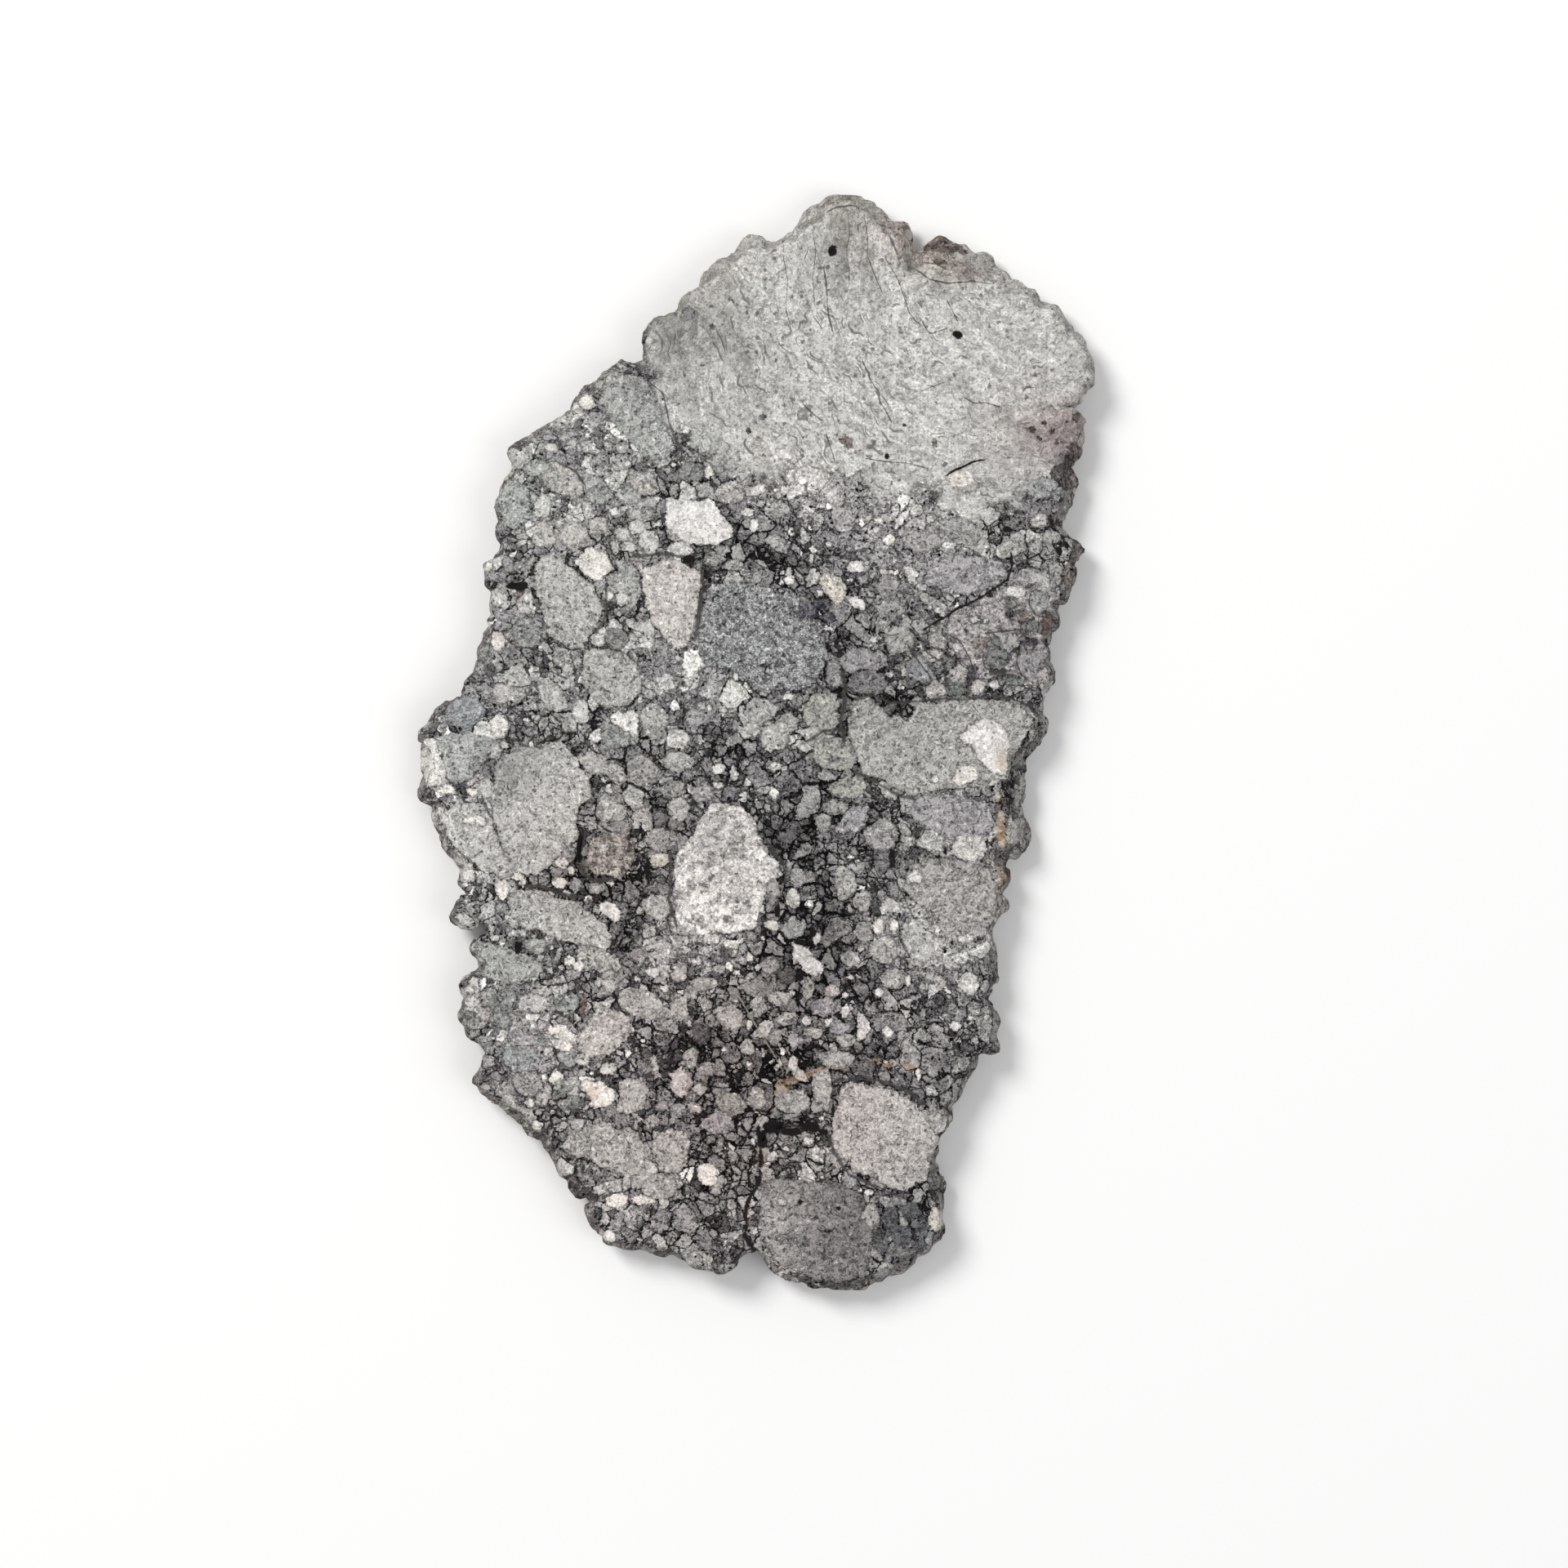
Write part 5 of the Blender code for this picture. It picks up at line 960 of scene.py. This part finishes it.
def melt_rock(recipe, grain, warped):
    """Colour of the fine-grained melt clast, with its flow lines and specks."""
    split = recipe.node("ShaderNodeSeparateXYZ")
    recipe.feed(split.inputs[0], recipe.vector("SUBTRACT", recipe.place, (*FLOW_CENTRE, 0.0)))
    x, y, z = split.outputs
    reach = recipe.sum("SQRT", recipe.sum("ADD", recipe.sum("MULTIPLY", x, x), recipe.sum("MULTIPLY", y, y)))
    reach = recipe.sum("ADD", reach, recipe.attribute("cloud"))
    flow = recipe.node("ShaderNodeCombineXYZ")
    recipe.feed(flow.inputs[0], reach)
    recipe.feed(flow.inputs[1], recipe.sum("MULTIPLY", recipe.sum("ARCTAN2", x, y), 6.0))
    recipe.feed(flow.inputs[2], z)
    flow = flow.outputs[0]
    drawn_out = recipe.vector("MULTIPLY", flow, (1.0, 0.4, 1.0))
    long_way = recipe.vector("MULTIPLY", flow, (1.0, 0.14, 1.0))
    contour = recipe.sum("PINGPONG", recipe.noise(1.1, 2.5, 0.5, place=long_way), 0.04)
    hairline = recipe.sum("MULTIPLY", recipe.ramp(contour, 0.0, 0.012, 1.0, 0.0),
                          recipe.ramp(recipe.noise(1.3), 0.42, 0.58))
    hairline = recipe.sum("MULTIPLY_ADD", hairline, -0.4, 1.0)
    streak = recipe.ramp(recipe.noise(0.38, 3.0, 0.65, place=drawn_out), 0.3, 0.7, 0.78, 1.2, soft=False)
    band = recipe.ramp(recipe.noise(1.5, 3.0, 0.65, place=drawn_out), 0.36, 0.62, 0.86, 1.1)
    light = recipe.sum("MULTIPLY", recipe.sum("MULTIPLY", streak, band), hairline)
    soft_grain = recipe.sum("MULTIPLY_ADD", grain, 0.58, 0.42)
    colour = recipe.scaled((0.585, 0.577, 0.553), recipe.sum("MULTIPLY", light, soft_grain))
    away = recipe.vector("DISTANCE", recipe.place, SPECKED_PLACE, out="Value")
    peppery = recipe.ramp(away, 4.0, 16.0, 1.5, 0.45)
    flecks = recipe.vector("MULTIPLY", flow, (1.0, 0.5, 1.0))
    for place, size, limit, share, tone, strength in (
            (warped, 0.34, 0.10, 0.26, (0.20, 0.19, 0.18, 1.0), 0.55),
            (flecks, 0.5, 0.10, 0.30, (0.13, 0.12, 0.115, 1.0), 0.75),
            (warped, 0.8, 0.15, 0.16, (0.12, 0.11, 0.105, 1.0), 0.8),
            (warped, 1.1, 0.24, 0.26, (0.28, 0.265, 0.25, 1.0), 0.4),
            (warped, 1.1, 0.24, 0.14, (0.72, 0.71, 0.68, 1.0), 0.75)):
        spot = recipe.vector("ADD", place, (size * 17.0, size * 5.0, 0.0))
        near, (chance, width, _) = recipe.cells(size, spot)
        speck = recipe.ramp(near, recipe.sum("MULTIPLY", width, limit), limit * 1.5, 1.0, 0.0)
        speck = recipe.sum("MULTIPLY", speck, recipe.sum("LESS_THAN", chance, recipe.sum("MULTIPLY", peppery, share)))
        colour = recipe.mix(recipe.sum("MULTIPLY", speck, strength), colour, tone)
    return colour


def breccia():
    """The sawn and broken rock."""
    recipe = Recipe("lunar_breccia")
    ground = recipe.attribute("ground")
    fine = recipe.sum("SUBTRACT", recipe.noise(0.17, 2.0, 0.65), 0.5)
    coarse = recipe.sum("SUBTRACT", recipe.noise(0.62, 3.0, 0.6), 0.5)
    push = recipe.vector("SUBTRACT", recipe.noise(0.4, 2.0, out="Color"), (0.5, 0.5, 0.5))
    warped = recipe.vector("ADD", recipe.place, recipe.vector("SCALE", push, scale=0.55))
    texture = recipe.sum("MULTIPLY_ADD", fine, 2.5, recipe.sum("MULTIPLY", coarse, 1.3))
    texture = recipe.sum("MULTIPLY_ADD", crinkles(recipe, 0.62, recipe.place), 1.35, texture)
    near, (chance, width, _) = recipe.cells(0.6, warped)
    speck = recipe.ramp(near, recipe.sum("MULTIPLY", width, 0.1), 0.18, 1.0, 0.0)
    kind = recipe.sum("SUBTRACT", recipe.sum("MULTIPLY", recipe.sum("GREATER_THAN", chance, 0.88), 0.8),
                      recipe.sum("MULTIPLY", recipe.sum("LESS_THAN", chance, 0.28), 0.8))
    texture = recipe.sum("MULTIPLY_ADD", speck, kind, texture)
    grain = recipe.sum("MAXIMUM", recipe.sum("ADD", 1.0, texture), 0.25)
    colour = packed_clasts(recipe, ground, texture, coarse, fine, warped)
    melt = recipe.ramp(recipe.attribute("melt"), -1.2, 1.6)
    colour = recipe.mix(melt, colour, melt_rock(recipe, grain, warped))

    mottles = recipe.shades(recipe.noise(0.85, 5.0, 0.8, place=warped, twist=0.5),
                            ((0.36, (0.22, 0.22, 0.22)), (0.45, (0.70, 0.695, 0.695)), (0.55, (1.27, 1.26, 1.25))))
    needles = recipe.noise(0.55, 2.0, 0.6, twist=1.3)
    laths = recipe.shades(needles, [(at, (level,) * 3) for at, level in
                                    ((0.32, 0.1), (0.40, 1.0), (0.45, 0.15), (0.51, 1.8), (0.57, 0.5), (0.65, 1.9))])
    wobble = recipe.sum("MULTIPLY_ADD", recipe.noise(0.36, 3.0, 0.65), 0.7, -0.35)
    wobble = recipe.sum("ADD", wobble, recipe.attribute("wobble"))
    moat_width = recipe.attribute("moat")
    moat_strength = recipe.sum("MULTIPLY", recipe.ramp(moat_width, -0.45, 0.0, 0.95, 0.3, soft=False),
                               recipe.sum("MULTIPLY_ADD", melt, -0.8, 1.0))
    moat_strength = recipe.sum("MULTIPLY", moat_strength, recipe.ramp(recipe.attribute("cloud"), -0.5, 0.3, 0.4, 1.0))
    height = recipe.sum("MULTIPLY", coarse, 0.5)
    for layer in range(LAYERS):
        depth = recipe.sum("ADD", recipe.attribute(f"clast_depth_{layer}"), wobble)
        inside = recipe.ramp(depth, -0.05, 0.05)
        moat = recipe.sum("MULTIPLY", recipe.ramp(depth, moat_width, 0.0), moat_strength)
        look = recipe.node("ShaderNodeAttribute", attribute_name=f"clast_tone_{layer}").outputs
        is_mottled = recipe.sum("GREATER_THAN", look["Alpha"], 0.75)
        is_lathed = recipe.sum("COMPARE", look["Alpha"], LATHS, 0.2)
        amount = recipe.mix(is_mottled, (1.0, 1.0, 1.0, 1.0), mottles)
        amount = recipe.mix(is_lathed, amount, laths)
        tone = recipe.vector("MULTIPLY", look["Color"], amount)
        rough = recipe.sum("MULTIPLY_ADD", texture, recipe.ramp(look["Fac"], 0.1, 0.8, 1.25, 0.5, soft=False), 1.0)
        rough = recipe.sum("MAXIMUM", rough, 0.25)
        # Painted shade: each listed clast is darkened towards its edge, as if it were rounded.
        tone = recipe.scaled(tone, recipe.sum("MULTIPLY", rough, recipe.ramp(depth, 0.0, 0.25, 0.78, 1.0)))
        colour = recipe.scaled(colour, recipe.sum("SUBTRACT", 1.0, moat))
        colour = recipe.mix(inside, colour, tone)
        height = recipe.sum("MAXIMUM", height, inside)

    broken = recipe.sum("MULTIPLY", coarse, 2.2)
    stain = recipe.sum("ADD", recipe.attribute("stain"), broken)
    colour = recipe.mix(recipe.sum("MULTIPLY", recipe.ramp(stain, -0.3, 0.4), 0.5), colour,
                        (0.50, 0.33, 0.19, 1.0))
    # Veins in their own colours; the gaping cracks are painted near-black, as painted shade inside them.
    for kind, tone, strength in ((PALE, (0.30, 0.29, 0.23, 1.0), 0.8), (RUST, (0.42, 0.285, 0.18, 1.0), 0.75),
                                 (DARK, (0.06, 0.055, 0.055, 1.0), 0.8), (CRACK_SHADE, (0.014, 0.012, 0.012, 1.0), 1.0)):
        across = recipe.sum("ADD", recipe.sum("ABSOLUTE", recipe.attribute(f"{kind}_across")),
                            recipe.sum("MULTIPLY", broken, 3.0 if kind == RUST else 1.6))
        line = recipe.ramp(across, 0.5, 1.4, 1.0, 0.0)
        line = recipe.sum("MULTIPLY", line, recipe.ramp(recipe.attribute(f"{kind}_reach"), 0.05, 0.3, 1.0, 0.0))
        if kind == RUST:
            line = recipe.sum("MULTIPLY", line, recipe.ramp(recipe.noise(0.9, 2.0), 0.40, 0.56, 0.15, 1.0))
        colour = recipe.mix(recipe.sum("MULTIPLY", line, strength), colour, tone)
        height = recipe.sum("MULTIPLY", height, recipe.sum("SUBTRACT", 1.0, line))

    rind = recipe.shades(recipe.sum("MULTIPLY_ADD", recipe.attribute("cloud"), 0.35, 0.5),
                         ((0.2, (0.13, 0.11, 0.10)), (0.45, (0.28, 0.25, 0.23)), (0.6, (0.42, 0.39, 0.36)),
                          (0.85, (0.55, 0.50, 0.45))))
    colour = recipe.mix(recipe.sum("MULTIPLY", recipe.attribute("rim"), 0.28), colour, recipe.scaled(rind, grain))
    colour = recipe.vector("MULTIPLY", colour, recipe.attribute("wash", "Color"))
    # Painted shade: the broken sides are darkened, most where they lie deepest between the two sawn faces.
    colour = recipe.scaled(colour, recipe.ramp(recipe.attribute("rim"), 0.0, 0.7, 1.0, 0.78))
    # Painted shade: the voids, with wobbly edges, painted near-black.
    hollow_shade = recipe.sum("MULTIPLY_ADD", wobble, 0.45, recipe.attribute("hollow_shade"))
    colour = recipe.mix(recipe.ramp(hollow_shade, -0.05, 0.08), colour, (0.012, 0.010, 0.010, 1.0))
    colour = recipe.scaled(colour, 1.0 / LIGHT_LEVEL)

    bump = recipe.node("ShaderNodeBump")
    recipe.feed(bump.inputs["Strength"], 0.7)
    recipe.feed(bump.inputs["Distance"], 0.05 * MM)
    recipe.feed(bump.inputs["Height"], recipe.sum("MULTIPLY_ADD", fine, 0.8, height))
    recipe.feed(recipe.shader.inputs["Base Color"], colour)
    recipe.feed(recipe.shader.inputs["Roughness"], recipe.ramp(coarse, -0.2, 0.2, 0.82, 0.68))
    recipe.feed(recipe.shader.inputs["Normal"], bump.outputs["Normal"])
    recipe.shader.inputs["Specular IOR Level"].default_value = 0.08
    return recipe.material


def noise_at(points, size, shift, octaves=1):
    """Smooth noise from about -1 to 1 at each point."""
    rows = (points / size + shift).tolist()
    if octaves == 1:
        return np.array([noise.noise(Vector(row)) for row in rows])
    return np.array([noise.fractal(Vector(row), 0.6, 2.0, octaves) for row in rows])


def write_looks(piece):
    """Write everything that the rock's material reads from the stone's points."""
    mesh = piece.data
    points = mesh_points(mesh)
    write_clasts(mesh, points)
    write_lines(mesh, points)
    # The voids, for the painted shade inside them.
    write_ovals(mesh, points, "hollow_shade", VOIDS, 0.5)
    write_ovals(mesh, points, "stain", STAINS, 0.3)
    write_ground(mesh, points)
    below = THICKNESS - points[:, 2]
    # How far into a broken side each point lies: for the rind's colour and the painted shade on the sides.
    give(mesh, "rim", np.clip(np.minimum(below, points[:, 2]) / 1.2, 0.0, 1.0))
    give(mesh, "wobble", 0.2 * noise_at(points, 0.95, 3.0, 2))
    give(mesh, "moat", -0.2 + 0.22 * noise_at(points, 1.2, 11.0))
    give(mesh, "cloud", noise_at(points, 2.6, 19.0, 3))
    drift = np.zeros((len(points), 3))
    drift[:, 0] = 0.45 * noise_at(points, 1.6, 23.0) + 0.7 * below
    drift[:, 1] = 0.45 * noise_at(points, 1.6, 31.0) + 0.5 * below
    layer = mesh.attributes.new("drift", "FLOAT_VECTOR", "POINT")
    layer.data.foreach_set("vector", drift.astype(np.float32).ravel())


def pale_floor():
    """A plain pale floor under the stone."""
    deselect_all()
    bpy.ops.mesh.primitive_plane_add(size=4.0, location=(0.0, 0.0, -0.02 * MM))
    floor = bpy.context.active_object
    floor.name = "pale_floor"
    material = bpy.data.materials.new("pale_floor")
    material.use_nodes = True
    shader = material.node_tree.nodes["Principled BSDF"]
    shader.inputs["Base Color"].default_value = (0.9, 0.9, 0.9, 1.0)
    shader.inputs["Roughness"].default_value = 0.9
    shader.inputs["Specular IOR Level"].default_value = 0.1
    floor.data.materials.append(material)


def studio_light(name, place, size, power, colour):
    """A soft light that faces the stone."""
    lamp = bpy.data.lights.new(name, "AREA")
    lamp.shape = "DISK"
    lamp.size = size
    lamp.energy = power
    lamp.color = colour
    light = bpy.data.objects.new(name, lamp)
    light.location = place
    light.rotation_mode = "QUATERNION"
    light.rotation_quaternion = (-Vector(place)).to_track_quat("-Z", "Y")
    bpy.context.scene.collection.objects.link(light)


def studio():
    """Soft light all round, and a key light from the upper left."""
    world = bpy.data.worlds.new("soft_room")
    world.use_nodes = True
    room = world.node_tree.nodes["Background"]
    room.inputs["Color"].default_value = (1.0, 1.0, 1.0, 1.0)
    room.inputs["Strength"].default_value = 0.48
    bpy.context.scene.world = world
    studio_light("key", (-0.45, 0.42, 0.62), 0.35, 5.6, (1.0, 0.99, 0.97))
    studio_light("fill", (0.55, -0.25, 0.6), 0.6, 1.7, (0.97, 0.985, 1.0))
    bpy.context.scene.view_settings.view_transform = "Standard"


def picture_camera():
    """A camera straight above the stone, which lies on its back face."""
    lens = bpy.data.cameras.new("picture")
    lens.lens = LENS
    lens.sensor_width = SENSOR
    lens.clip_start = 0.01
    camera = bpy.data.objects.new("picture", lens)
    height = THICKNESS + PICTURE_WIDTH / 2.0 * LENS / (SENSOR / 2.0)
    camera.location = (PICTURE_CENTRE[0] * MM, PICTURE_CENTRE[1] * MM, height * MM)
    bpy.context.scene.collection.objects.link(camera)
    bpy.context.scene.camera = camera


stone = stone_piece()
write_looks(stone)
stone.data.materials.append(breccia())
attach(stone, "root")
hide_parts("meteorite_slice")
pale_floor()
studio()
picture_camera()
